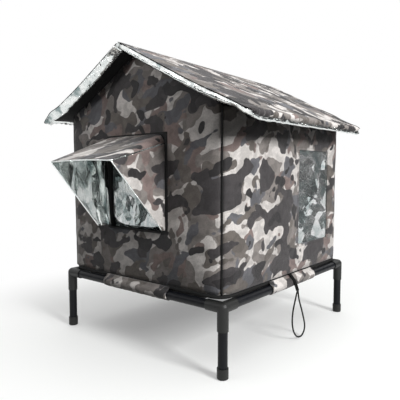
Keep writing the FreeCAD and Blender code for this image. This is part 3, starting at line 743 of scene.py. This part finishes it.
def makeFloorBoard(own, curve):
    low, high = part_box("floor_board")
    gap, trim = own["gap"], own["trim"]
    bm = gridMesh(44, 50)
    for vert in bm.verts:
        vert.co = Vector((vert.co.x * (high.x - gap), vert.co.y * (high.y - gap), low.z + trim))
    foamSlab(bm, (0, 0, high.z - low.z - 2 * trim), 1)
    for vert in bm.verts:
        core = Vector((max(min(vert.co.x, high.x - curve), low.x + curve),
                       max(min(vert.co.y, high.y - curve), low.y + curve), vert.co.z))
        away = vert.co - core
        if away.x and away.y:
            # the board's corners are rounded like the tray's
            vert.co = core + away.normalized() * min(away.length, curve - trim)
        if vert.co.z > (low.z + high.z) / 2:
            vert.co.z += own["crinkle"] * min(crinkle(vert.co, own["size"]), own["most"])
    board = addPiece("floorBoard", bm, ["foil"], ["floor_board"])


makeTray(floorTray)
makeFloorBoard(floorBoard, floorTray["round"])

# black piping up the corners
cornerPiping = {"radius": 0.0014, "proud": 0.0004, "wobble": 0.0004, "wobbleSize": 0.02}


def makePiping(own):
    for corner in ("front_left", "front_right", "rear_right", "rear_left"):
        low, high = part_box("piping_" + corner)
        middle = (low + high) / 2
        # the piping lies in the seam where two padded walls round into each other
        back = wallCover["round"] * (1 - math.sqrt(0.5)) - own["proud"]
        middle.x = math.copysign(houseX - back, middle.x)
        middle.y = math.copysign(houseY - back, middle.y)

        def placeAt(turn, along):
            z = low.z + along * (high.z - low.z)
            angle = turn * math.tau
            wobble = own["wobble"] * ripple((middle.x, middle.y, z), own["wobbleSize"])
            radius = own["radius"] + wobble
            return Vector((middle.x + radius * math.cos(angle), middle.y + radius * math.sin(angle), z))

        bm = tubeMesh(12, 44, placeAt)
        leanOut(bm, wallLean)
        name = "piping" + corner.title().replace("_", "")
        addPiece(name, bm, ["black"], ["piping_" + corner])


makePiping(cornerPiping)
print("floor and piping made")

# black tape round the doorway, with the header of the flap
doorTape = {
    "lip": 0.009, "lowLip": 0.4, "thick": 0.0009, "wobble": 0.0004, "wobbleSize": 0.016, "side": 34,
    "seam": 0.68, "seamProud": 0.0005, "headerTrim": 0.0032, "headerRound": 0.0014,
}


def makeTape(own):
    low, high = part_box("door_binding")
    lip, front, back = own["lip"], low.y, high.y
    # distance out from the opening and depth, along the strip's width
    strip = [(lip, front + 0.0011), (lip - 0.0003, front + 0.0003), (lip - 0.0016, front - 0.0002),
             (lip * 0.5, front - 0.0004), (0.0016, front - 0.0002), (0.0003, front + 0.0004), (0, front + 0.0016),
             (0, (front + back) / 2), (0, back - 0.0014), (0.0004, back - 0.0003), (0.0016, back),
             (lip * 0.5, back), (lip - 0.0012, back - 0.0001), (lip, back - 0.001)]
    halfWide, bottom, top = high.x - lip, low.z + lip, high.z - lip
    count, last = own["side"], len(strip) - 1
    bm = gridMesh(4 * count, last)
    for vert in bm.verts:
        around, across = shares(vert)
        out, depth = strip[round(across * last)]
        below = bottom - out * own["lowLip"]
        corners = [Vector((-halfWide - out, depth, below)), Vector((halfWide + out, depth, below)),
                   Vector((halfWide + out, depth, top + out)), Vector((-halfWide - out, depth, top + out))]
        side, part = divmod(round(around * 4 * count), count)
        spot = corners[side % 4].lerp(corners[(side + 1) % 4], part / count)
        if depth < (front + back) / 2:
            spot.y += own["wobble"] * ripple(spot, own["wobbleSize"], 3)
        vert.co = spot
    closeUp(bm)
    faceOut(bm)
    tape = addPiece("doorTape", bm, ["black"], ["door_binding"])
    thicken(tape, own["thick"])

    aside, level = halfWide + lip * own["seam"], front - own["seamProud"]
    above = top + lip * own["seam"]
    seam = [(-aside, level, bottom), (-aside, level, above), (aside, level, above), (aside, level, bottom)]
    addStitches("doorStitches", [Vector(spot) for spot in seam], "house", thread)

    low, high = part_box("flap_header")
    trim = Vector((0, 0, own["headerTrim"]))
    bm = boxMesh(high - low - trim, (low + high + trim) / 2)
    roundEdges(bm, bm.edges[:], own["headerRound"], 3)
    addPiece("flapHeader", bm, ["black"], ["flap_header"])


makeTape(doorTape)

# clear door flap and window pane
clearSheet = {
    "thick": 0.0007, "cornerWide": 0.056, "cornerTall": 0.022, "ripple": 0.0026, "rippleSize": 0.045,
    "rippleFrom": (0.004, 0.08), "paneRipple": 0.0022, "paneSize": 0.04, "paneSink": 0.9,
    "paneFrom": (0.006, 0.05), "seam": 0.005, "seamProud": 0.0004,
}


def makeFlap(own):
    low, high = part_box("door_flap")
    axis, cornerTall = hinges["flap_swing"], own["cornerTall"]
    bm = gridMesh(40, 44)
    for vert in bm.verts:
        z = low.z + shares(vert)[1] * (axis.z - low.z)
        half = high.x
        lift = (low.z + cornerTall - z) / cornerTall
        if lift > 0:
            half -= own["cornerWide"] * (1 - math.sqrt(max(1 - min(lift, 1) ** 2, 0)))
        x = vert.co.x * half
        wave = ripple((x, 0, z * 0.5), own["rippleSize"], 2) * ease(axis.z - z, *own["rippleFrom"])
        vert.co = Vector((x, axis.y + own["ripple"] * wave, z))
    area = sheetArea(bm)
    flap = addPiece("doorFlap", bm, ["clear"], ["door_flap"], "door_flap")
    thicken(flap, own["thick"], offset=0.0)


def makePane(own):
    low, high = paneLow, paneHigh
    bm = gridMesh(30, 40)
    for vert in bm.verts:
        across, up = shares(vert)
        y, z = low.y + across * (high.y - low.y), low.z + up * (high.z - low.z)
        room = min(y - low.y, high.y - y, z - low.z, high.z - z)
        wave = (ripple((y, z, 0), own["paneSize"]) - own["paneSink"]) * ease(room, *own["paneFrom"])
        vert.co = Vector(((low.x + high.x) / 2 + own["paneRipple"] * wave, y, z))
    faceOut(bm)
    nearY, farY, lowZ, highZ = wallPieces["right"]["hole"]
    out, level = own["seam"], houseX + own["seamProud"]
    nearY, farY, lowZ, highZ = nearY - out, farY + out, lowZ - out, highZ + out
    corners = [(nearY, lowZ), (farY, lowZ), (farY, highZ), (nearY, highZ), (nearY, lowZ)]
    addStitches("windowStitches", [Vector((level, y, z)) for y, z in corners], "house", thread)
    pane = addPiece("windowPane", bm, ["clear"], ["window_pane"])
    thicken(pane, own["thick"], offset=0.0)


makeFlap(clearSheet)
makePane(clearSheet)
print("clear sheets hung")

# awning over the doorway; pairs are for its left and right side
awning = {
    "wallSides": (-0.086, 0.075), "frontSides": (-0.0885, 0.0775), "wallDrops": (0.003, 0.016),
    "dropPowers": (6, 14), "frontCrown": 0.002, "drop": 0.048, "flat": (0.166, 0.129), "thick": 0.0022,
    "sag": 0.0012, "sagEdge": 0.3, "crinkle": 0.0011, "crinkleSize": 0.026, "crinkleEdge": 0.12,
    "crinkleDraw": 0.12, "feet": (0.029, 0.007), "hem": 0.0014, "gussetGrid": (30, 38), "fold": 0.0024,
    "foldSize": 0.022, "foldDraw": 0.3, "foldEdge": 0.10,
}


def makeAwning(own):
    low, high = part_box("awning_top")
    frontZ = high.z - own["drop"]

    def sideLine(sign, share):
        # a top corner of the hood, share 0 at the front and 1 at the wall
        frontX, wallX = pick(own["frontSides"], sign), pick(own["wallSides"], sign)
        z = frontZ + (own["drop"] - pick(own["wallDrops"], sign)) * share
        return Vector((frontX + (wallX - frontX) * share, low.y + share * (high.y - low.y), z))

    bm = gridMesh(44, 34)
    for vert in bm.verts:
        u, (across, share) = vert.co.x, shares(vert)
        spot = sideLine(-1, share).lerp(sideLine(1, share), across)
        drop = pick(own["wallDrops"], u) * abs(u) ** pick(own["dropPowers"], u)
        front = frontZ + own["frontCrown"] * (1 - u * u)
        room = min(share, 1 - share, 1 - abs(u))
        fold = crinkle((spot.x, share * own["crinkleDraw"], 0), own["crinkleSize"], 2)
        spot.z = front + (high.z - drop - front) * share - own["sag"] * ease(room, 0, own["sagEdge"])
        spot.z += own["crinkle"] * fold * ease(room, 0, own["crinkleEdge"])
        vert.co = spot
    hood = addPiece("awningTop", bm, ["camo", "creased", "foil"], ["awning_top"])
    thicken(hood, own["thick"], inner=1, rim=2)

    columns, rows = own["gussetGrid"]
    under = Vector((0, 0, -own["thick"]))
    for side, sign in (("left", -1), ("right", 1)):
        foot = pick(own["feet"], sign)
        wallTop, frontTop = sideLine(sign, 1) + under, sideLine(sign, 0) + under
        low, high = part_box("awning_gusset_" + side)
        wallFoot = Vector((pick((low.x, high.x), sign), wallTop.y, low.z))
        frontFoot = wallFoot - Vector((0, foot, 0))
        bm = gridMesh(columns, rows)
        for face in bm.faces:
            # the foil shows along the sloping front edge
            face.material_index = 2 if face.calc_center_median().x > 1 - 2 / columns else 0
        for vert in bm.verts:
            u, v = shares(vert)
            wide = (wallTop - frontTop).length * (1 - v) + foot * v
            inHem = u > 1 - 0.5 / columns
            u = 1 if inHem else min(u * columns / (columns - 1) * (1 - own["hem"] / wide), 1)
            spot = wallTop.lerp(frontTop, u).lerp(wallFoot.lerp(frontFoot, u), v)
            room = min(u, 1 - u, v, 1 - v)
            fold = crinkle((0, spot.y, spot.z * own["foldDraw"]), own["foldSize"], 5)
            spot.x += own["fold"] * fold * ease(room, 0, own["foldEdge"])
            vert.co = spot
        area = sheetArea(bm)
        bm.normal_update()
        if sum(f.normal.x for f in bm.faces) * sign < 0:
            bmesh.ops.reverse_faces(bm, faces=bm.faces[:])
        gusset = addPiece("awningGusset" + side.title(), bm, ["camo", "creased", "foil"],
                          ["awning_gusset_" + side])
        thicken(gusset, own["thick"], inner=1, rim=2)


makeAwning(awning)
print("awning made")

# form of the roof, one printed sheet over two foil-faced boards; pairs are for the left and right half
roofLow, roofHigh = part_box("roof_right_cover")
roof = {
    "length": 0.282, "front": roofLow.y, "rear": roofHigh.y, "half": 0.005, "frontCorners": (0.006, 0.014),
    "rearCorner": 0.030, "frontReach": 0.024, "rearReach": -0.002, "leftReach": -0.006, "rightDrop": -0.0025,
    "frontDrop": -0.0015, "lift": 0.012, "overhang": 0.045, "curl": 0.005, "ear": 0.0135,
}
roofSides = (("left", -1), ("right", 1))


def frontShare(y):
    return (roof["rear"] - y) / (roof["rear"] - roof["front"])


def roofStretch(side, away, y):
    # the right half is cut longer towards the front
    extra = roof["leftReach"]
    if side > 0:
        extra = roof["rearReach"] + (roof["frontReach"] - roof["rearReach"]) * frontShare(y)
    return extra * ease(away, roof["length"] * 0.25, roof["length"])


def roofShift(side, away, y):
    # how far the soft panel stands above or below its flat place
    share = min(away / roof["length"], 1.0)
    toFront = min(max(frontShare(y), 0), 1)
    if side > 0:
        return -(roof["rightDrop"] + roof["frontDrop"] * toFront ** 2) * ease(share, 0.62, 1.0)
    # the front overhang curls up beside the wall and droops at its corner
    overhang = 1 - ease(y - roof["front"], 0, roof["overhang"])
    curl = roof["curl"] * ease(share, 0.40, 0.85) - roof["ear"] * ease(share, 0.84, 1.0)
    lift = roof["lift"] * ease(share, 0.70, 1.0) * ease(toFront, 0.3, 1.0)
    return lift + curl * overhang


def roofPoint(run, y, up):
    # a point at signed distance run from the ridge, up above the middle of the board
    side = 1 if run >= 0 else -1
    bend = roof["half"] * slope
    away = abs(run)
    if away < bend:
        angle = away / roof["half"]
        return Vector((side * up * math.sin(angle), y, ridgeZ + up * math.cos(angle)))
    away -= bend
    away += roofStretch(side, away, y)
    x = side * (away * math.cos(slope) + up * math.sin(slope))
    return Vector((x, y, ridgeZ - away * math.sin(slope) + up * math.cos(slope) + roofShift(side, away, y)))


def roofSpan(side, away):
    # the rounded corners draw the two ends of each row in
    ends = []
    for corner in (pick(roof["frontCorners"], side), roof["rearCorner"]):
        past = min(max(away - (roof["length"] - corner), 0), corner)
        ends.append(corner - math.sqrt(corner ** 2 - past ** 2))
    return roof["front"] + ends[0], roof["rear"] - ends[1]


# the sheet: rows of faces on each slope, round the eave's hem and under it
roofCover = {
    "rows": (32, 14, 4), "columns": 200, "thick": 0.0006, "allowance": 0.028, "sewnEdge": 0.012,
    "nose": (0.0014, 0.0046), "hemBand": 0.020, "underStep": 0.0022, "gather": 0.0052, "gatherSize": 0.0125,
    "puff": 0.0018, "puffEdge": 0.06, "streak": 0.0018, "streakSize": 0.03, "dip": 0.0004, "fillCap": 0.0035,
    "rearBlackBand": 0.009,
}


def makeRoofCover(own):
    length, half, band = roof["length"], roof["half"], own["hemBand"]
    flatRows, hemRows, underRows = own["rows"]
    rows = flatRows + hemRows + underRows
    bm = gridMesh(2 * rows, own["columns"])
    start = length - band
    sewn, hems = [], {-1: [], 1: []}
    for place, vert in enumerate(bm.verts):
        step = round(vert.co.x * rows)
        side, index = (1 if step >= 0 else -1), abs(step)
        yShare = shares(vert)[1]
        edge = min(yShare, 1 - yShare)
        if index < 2 or index > flatRows - 1 or edge < own["sewnEdge"]:
            sewn.append(place)
        if index == flatRows:
            hems[side].append(vert)
        nose = pick(own["nose"], side) * (0.3 + 0.7 * ease(edge, 0, 0.05))
        if index <= flatRows:
            away, around = start * index / flatRows, None
        elif index <= flatRows + hemRows:
            flat = band - nose
            travel = (index - flatRows) / hemRows * (flat + math.pi * nose)
            away, around = start + min(travel, flat), max(travel - flat, 0) / nose
        else:
            away, around = length - nose - (index - flatRows - hemRows) * own["underStep"], math.pi
        front, rear = roofSpan(side, min(away + (nose if around else 0), length))
        y = front + yShare * (rear - front)
        # the hem is gathered in uneven folds
        phase = y / own["gatherSize"] + 0.8 * ripple((y, side * 3.0, 0), 0.03, 4)
        fold = (0.1 + 0.9 * abs(math.sin(math.pi * phase)) ** 0.6) * (0.75 + 0.5 * ripple((y, side, 0), 0.011, 9))
        hem = ease(away, start - 0.004, start + 0.008)
        pull = max(own["gather"] * fold * hem * ease(edge, 0, 0.02), 0)
        if around is None:
            puff = ease(away, 0.004, 0.05) * ease(edge, 0, own["puffEdge"])
            puff *= 1 - ease(away, start - 0.05, start - 0.004)
            streak = ripple((away * 0.35 * side, y * 1.2, 0), own["streakSize"], 6)
            streak *= ease(edge, 0, 0.05) * ease(away, 0, 0.04)
            swell = own["puff"] * puff + own["streak"] * streak
            vert.co = roofPoint(side * away, y, half + max(swell, -own["dip"]) + pull)
        else:
            turn = math.pi / 2 - around
            radius = nose + pull * max(math.sin((around + 0.5) / 1.15) if around < 3 else 0.2, 0)
            rise = radius * math.sin(turn) if around < math.pi else -nose
            vert.co = roofPoint(side * (away + radius * math.cos(turn)), y, half - nose + rise)
    fillCloth(bm, sewn, {**clothFill, "cap": own["fillCap"]})
    for side, sign in roofSides:
        rise = Vector((sign * math.sin(slope), 0, math.cos(slope))) * thread["thick"] / 3
        row = sorted((vert.co + rise for vert in hems[sign]), key=lambda spot: spot.y)
        addStitches("hemStitches" + side.title(), row, "roof_" + side, thread)
    # faces within this distance of the rear edge are made black
    for face in bm.faces:
        if face.calc_center_median().y > roof["rear"] - own["rearBlackBand"]:
            face.material_index = 1
    nodes = ["roof_left_cover", "roof_right_cover"]
    piece = addPiece("roofCover", bm, ["camo", "black"], nodes, None)
    thicken(piece, own["thick"], rim=1, even=False)
    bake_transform(piece)


# the rolled seam along the ridge
ridgeRoll = {"wobble": 0.03, "wobbleSize": 0.02}


def makeRidgeRoll(own):
    low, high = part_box("ridge_roll")
    middle, radius = (low + high) / 2, (high.x - low.x) / 2

    def placeAt(turn, along):
        angle = turn * math.tau
        y = low.y + along * (high.y - low.y)
        wobble = own["wobble"] * ripple((angle * 0.01, y, 0), own["wobbleSize"])
        reach = radius * (1 - own["wobble"] + wobble)
        return Vector((reach * math.cos(angle), y, middle.z + reach * math.sin(angle)))

    bm = tubeMesh(18, 60, placeAt)
    for face in bm.faces:
        # the rolled front end shows the foil
        face.material_index = 1 if face.normal.y < -0.9 else 0
    addPiece("ridgeRoll", bm, ["camo", "foil"], ["ridge_roll"], "roof_left")


# a roof board: how its underside sinks at the front border, rises at the rear and changes along the eave
roofBoard = {
    "shortBy": 0.0034, "nearRidge": 0.0062, "columns": 48, "middleRows": 64, "trim": 0.0006, "cover": 0.0012,
    "borderRows": [0.0, 0.0016, 0.004, 0.007, 0.0105, 0.014, 0.0175, 0.0205, 0.0235, 0.0275],
    "borders": (0.011, 0.0012), "borderDeep": (0.0045, 0.0015), "borderThin": (0.0026, -0.0035),
    "borderVary": 0.2, "paintedShadeFrom": (0.002, 0.012), "crinkle": 0.0010, "crinkleSize": 0.024, "ridgeRise": 0.0012,
    "rearRise": 0.004, "thinEave": (0.0064, 0.0), "lip": (0.0, 0.0030), "taper": (0.0, 0.0055),
    "lipOut": (0.0, 0.0058), "edgeCrinkle": 0.0018, "edgeSize": 0.012,
}


def makeRoofBoard(side, sign, own):
    near, length, half = own["nearRidge"], roof["length"] - own["shortBy"], roof["half"]
    deep = roof["rear"] - roof["front"]
    trim, cover = own["trim"], own["cover"]
    # rows lie closer together along the front and rear borders
    inset, count = own["borderRows"], own["middleRows"]
    between = [inset[-1] + (deep - 2 * inset[-1]) * i / count for i in range(1, count)]
    rowPlaces = [d / deep for d in inset + between + [deep - d for d in reversed(inset)]]
    bm = gridMesh(own["columns"], len(rowPlaces) - 1)
    for vert in bm.verts:
        across, along = shares(vert)
        vert.co = Vector((near + across * (length - near), rowPlaces[round(along * (len(rowPlaces) - 1))], 0))
    foamSlab(bm, (0, 0, 1), 3)
    # how far past the foil border the painted shade of black begins, at the front and at the eave
    frontShadeFrom, eaveShadeFrom = own["paintedShadeFrom"]
    for face in bm.faces:
        # behind its foil border the underside is made black, a painted shade standing for the deep shadow under
        # the roof
        spot = face.calc_center_median()
        behind = spot.y * deep > pick(own["borders"], sign) + frontShadeFrom
        if behind and spot.z < 0.01 and spot.x < length - eaveShadeFrom:
            face.material_index = 1
    for vert in bm.verts:
        away, yShare, level = vert.co

        def toEave(fromEave, untilEave):
            return ease(away, length - fromEave, length - untilEave)

        front, rear = roofSpan(sign, away * roof["length"] / length)
        y = front + trim + yShare * (rear - front - 2 * trim)
        fromFront, fromRear = yShare * deep, (1 - yShare) * deep
        fold = crinkle((away, y, sign), own["crinkleSize"], 3) * ease(fromFront, 0, 0.004)
        bottom = -half + own["crinkle"] * fold
        bottom += own["ridgeRise"] * (1 - ease(away, near, near + 0.01))
        vary = 1 + own["borderVary"] * crinkle((away, 0, sign), own["edgeSize"], 7)
        border = pick(own["borders"], sign) * vary
        drop = pick(own["borderDeep"], sign) * ease(away, 0.02, 0.05)
        thin = pick(own["borderThin"], sign)
        if fromFront < border:
            bottom = thin + (bottom - drop - thin) * fromFront / border
        else:
            bottom -= drop * (1 - ease(fromFront, border, border + 0.005))
        bottom += own["rearRise"] * (1 - ease(fromRear, 0, 0.008))
        bottom += pick(own["thinEave"], sign) * toEave(0.034, 0.004)
        bottom -= pick(own["lip"], sign) * toEave(0.020, 0.006)
        taper = toEave(0.055, 0.005) * (1 - ease(fromFront, 0, 0.03))
        bottom = min(bottom + pick(own["taper"], sign) * taper, half - 2 * cover)
        lipOut = toEave(0.008, 0) * (1 - ease(level, 0.2, 0.5))
        away += pick(own["lipOut"], sign) * lipOut
        up = bottom + (half - cover - bottom) * level
        if fromFront < own["borderRows"][1] / 2:
            fold = crinkle((away, up * 2, sign), own["edgeSize"], 9) - 0.6
            y += own["edgeCrinkle"] * fold * math.sin(math.pi * min(level + 0.15, 1))
        vert.co = roofPoint(sign * (away + half * slope), y, up)
    faceOut(bm)
    piece = addPiece("roofBoard" + side.title(), bm, ["foil", "black"], [f"roof_{side}_board"], "roof_" + side)


# cuts across the loop tapes, so that they can follow the underside of their soft panel
loopTape = {"middle": 0.13, "stepX": 0.024, "stepY": 0.045, "cuts": range(-5, 6)}


def makeLoopStrips(side, sign, own):
    node = frame["nodes"][f"roof_{side}_loop_strips"]
    bm = bmesh.new()
    bm.from_mesh(node.data)
    bmesh.ops.transform(bm, verts=bm.verts[:], matrix=node.matrix_world)
    for place in own["cuts"]:
        cutAcross(bm, (sign * own["middle"] + place * own["stepX"], 0, 0), (1, 0, 0))
        cutAcross(bm, (0, place * own["stepY"], 0), (0, 1, 0))
    for vert in bm.verts:
        vert.co.z += roofShift(sign, abs(vert.co.x) / math.cos(slope), vert.co.y)
    addPiece(f"loopStrips{side.title()}", bm, ["tape"], [node.name], "roof_" + side)


makeRoofCover(roofCover)
makeRidgeRoll(ridgeRoll)
for roofSide, roofSign in roofSides:
    makeRoofBoard(roofSide, roofSign, roofBoard)
    makeLoopStrips(roofSide, roofSign, loopTape)
print("roof covered")

# printed sleeves that hang the floor on the rails
railSleeve = {
    "inner": 0.0082, "fabric": 0.0011, "wrap": 0.078, "pinch": 0.30, "pinchLean": 0.12, "wrinkle": 0.0008,
    "wrinkleSize": 0.16, "wrinkleFrom": 0.5,
}


def makeSleeves(own):
    outside = own["inner"] + own["fabric"]
    upward = math.atan2(1, own["pinchLean"])
    for side in ("front", "right", "rear", "left"):
        low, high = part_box("rail_sleeve_" + side)
        railLow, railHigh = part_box("rail_" + side)
        middle = (railLow + railHigh) / 2
        along = Vector((1, 0, 0)) if side in ("front", "rear") else Vector((0, 1, 0))
        inward = Vector((-middle.x, -middle.y, 0)).normalized()
        lengthHalf = max(high.x - low.x, high.y - low.y) / 2
        rise = high.z - middle.z

        def placeAt(turn, share):
            # round the rail, pinched together where it is sewn to the floor
            angle = turn * math.tau - math.pi / 2
            off = abs((angle - upward + math.pi) % math.tau - math.pi)
            radius = outside + (rise - outside) * math.exp(-(off / own["pinch"]) ** 2)
            if off > own["wrinkleFrom"]:
                slack = 0.5 + ripple((share * 4, angle * 0.5, middle.x + middle.y), own["wrinkleSize"], 2)
                radius += max(own["wrinkle"] * slack, 0)
            spot = middle + along * (2 * share - 1) * lengthHalf
            return spot + inward * radius * math.cos(angle) + Vector((0, 0, radius * math.sin(angle)))

        bm = tubeMesh(36, 34, placeAt, closeEnds=False)
        piece = addPiece("railSleeve" + side.title(), bm, ["camo"], ["rail_sleeve_" + side])
        thicken(piece, own["fabric"])


makeSleeves(railSleeve)
print("sleeves hung")

# the stand and the tape strips keep their own solids
nodeFinish = {
    "leg_": "tube", "rail_front": "tube", "rail_rear": "tube", "rail_left": "tube", "rail_right": "tube",
    "corner_connectors": "plastic", "foot_caps": "plastic", "wall_hook_strips": "tape",
}
for name, node in frame["nodes"].items():
    for start, label in nodeFinish.items():
        if name.startswith(start):
            node.data.materials.clear()
            node.data.materials.append(finish[label])
print("stand finished")

# pale floor and soft light
studio = {"floorHalf": 9, "floorDrop": 0.0004, "floorTint": (0.93, 0.94, 0.925, 1),
          "bounce": (0.06, 0.06, 0.06, 1), "floorLift": 0.29, "fadeOut": (0.34, 0.72),
          "skyFrom": (0.55, 0.95), "skyLight": (0.03, 1.6), "dark": (0.01, 0.012, 0.012, 1),
          "lamps": {"keyLamp": {"place": (2.30, -0.40, 1.30), "aim": (0.1, 0, 0.3),
                                "size": 0.7, "spread": 180, "power": 70.0},
                    "frontLamp": {"place": (-0.45, -1.20, 0.95), "aim": (-0.02, -0.22, 0.54),
                                  "size": 0.4, "spread": 32, "power": 0.22}},
          # place, aim, width and height of the dark cards
          "flags": [((-0.95, 1.75, 1.15), (0.1, 0, 0.5), 1.7, 1.0),
                    ((1.15, 2.1, 0.35), (0.2, 0.1, 0.3), 1.25, 1.3),
                    ((-1.15, -1.4, 0.25), (0, -0.22, 0.3), 1.1, 0.6)]}


def plainSight(tree):
    # rays that show the room itself, not the ones that carry its light on to cloth
    rays = addNode(tree, "LightPath").outputs
    shiny = calc(tree, "MAXIMUM", rays["Is Glossy Ray"], rays["Is Transmission Ray"])
    direct = calc(tree, "LESS_THAN", rays["Diffuse Depth"], 0.5)
    return calc(tree, "MAXIMUM", rays["Is Camera Ray"], calc(tree, "MULTIPLY", shiny, direct))


def aimAt(place, aim, forward):
    return (Vector(aim) - Vector(place)).to_track_quat(forward, "Y")


def makeStudio(own):
    bm = gridMesh(4, 4)
    bmesh.ops.scale(bm, verts=bm.verts[:], vec=(own["floorHalf"], own["floorHalf"], 1))
    bmesh.ops.translate(bm, verts=bm.verts[:], vec=(0, 0, -own["floorDrop"]))
    material, tree, shader, place = newMaterial("paleFloor", Roughness=0.6, Specular_IOR_Level=0.2)
    shader.inputs["Base Color"].default_value = own["floorTint"]
    far = ramp(tree, vectorCalc(tree, "LENGTH", {0: place})["Value"], *own["fadeOut"])
    seen = plainSight(tree)
    glow = addNode(tree, "Emission", {"Color": white, "Strength": 1.0})
    bounce = addNode(tree, "BsdfDiffuse", {"Color": own["bounce"]})
    near = mixShader(tree, seen, bounce, mixShader(tree, own["floorLift"], shader, glow))
    faded = mixShader(tree, calc(tree, "MULTIPLY", far, seen), near, glow)
    tree.links.new(faded.outputs[0], tree.nodes["Material Output"].inputs["Surface"])
    meshObject("paleFloor", bm, [material])
    bm.free()

    world = bpy.data.worlds.new("whiteRoom")
    world.use_nodes = True
    scene.world = world
    tree = world.node_tree
    tree.nodes.clear()
    way = addNode(tree, "TexCoord").outputs["Generated"]
    up = addNode(tree, "SeparateXYZ", {0: way}).outputs[2]
    strength = ramp(tree, up, *own["skyFrom"], *own["skyLight"])
    soft = addNode(tree, "Background", {"Color": white, "Strength": strength})
    plain = addNode(tree, "Background", {"Color": white, "Strength": 1.0})
    both = mixShader(tree, plainSight(tree), soft, plain)
    addNode(tree, "OutputWorld", {"Surface": both.outputs[0]})

    dark, tree, shader, place = newMaterial("darkFlag", Roughness=1.0, Specular_IOR_Level=0.0)
    shader.inputs["Base Color"].default_value = own["dark"]
    for index, (spot, aim, wide, tall) in enumerate(own["flags"]):
        bm = gridMesh(1, 1)
        bmesh.ops.scale(bm, verts=bm.verts[:], vec=(wide / 2, tall / 2, 1))
        turn = aimAt(spot, aim, "Z").to_matrix().to_4x4()
        bmesh.ops.transform(bm, verts=bm.verts[:], matrix=Matrix.Translation(spot) @ turn)
        flag = meshObject("darkFlag" + str(index), bm, [dark])
        bm.free()
        flag.visible_camera = flag.visible_diffuse = flag.visible_shadow = flag.visible_transmission = False

    for name, given in own["lamps"].items():
        lamp = bpy.data.lights.new(name, "AREA")
        lamp.size = given["size"]
        lamp.energy = given["power"]
        lamp.spread = math.radians(given["spread"])
        lampObject = bpy.data.objects.new(name, lamp)
        lampObject.location = given["place"]
        lampObject.rotation_euler = aimAt(given["place"], given["aim"], "-Z").to_euler()
        scene.collection.objects.link(lampObject)


makeStudio(studio)
print("studio lit")
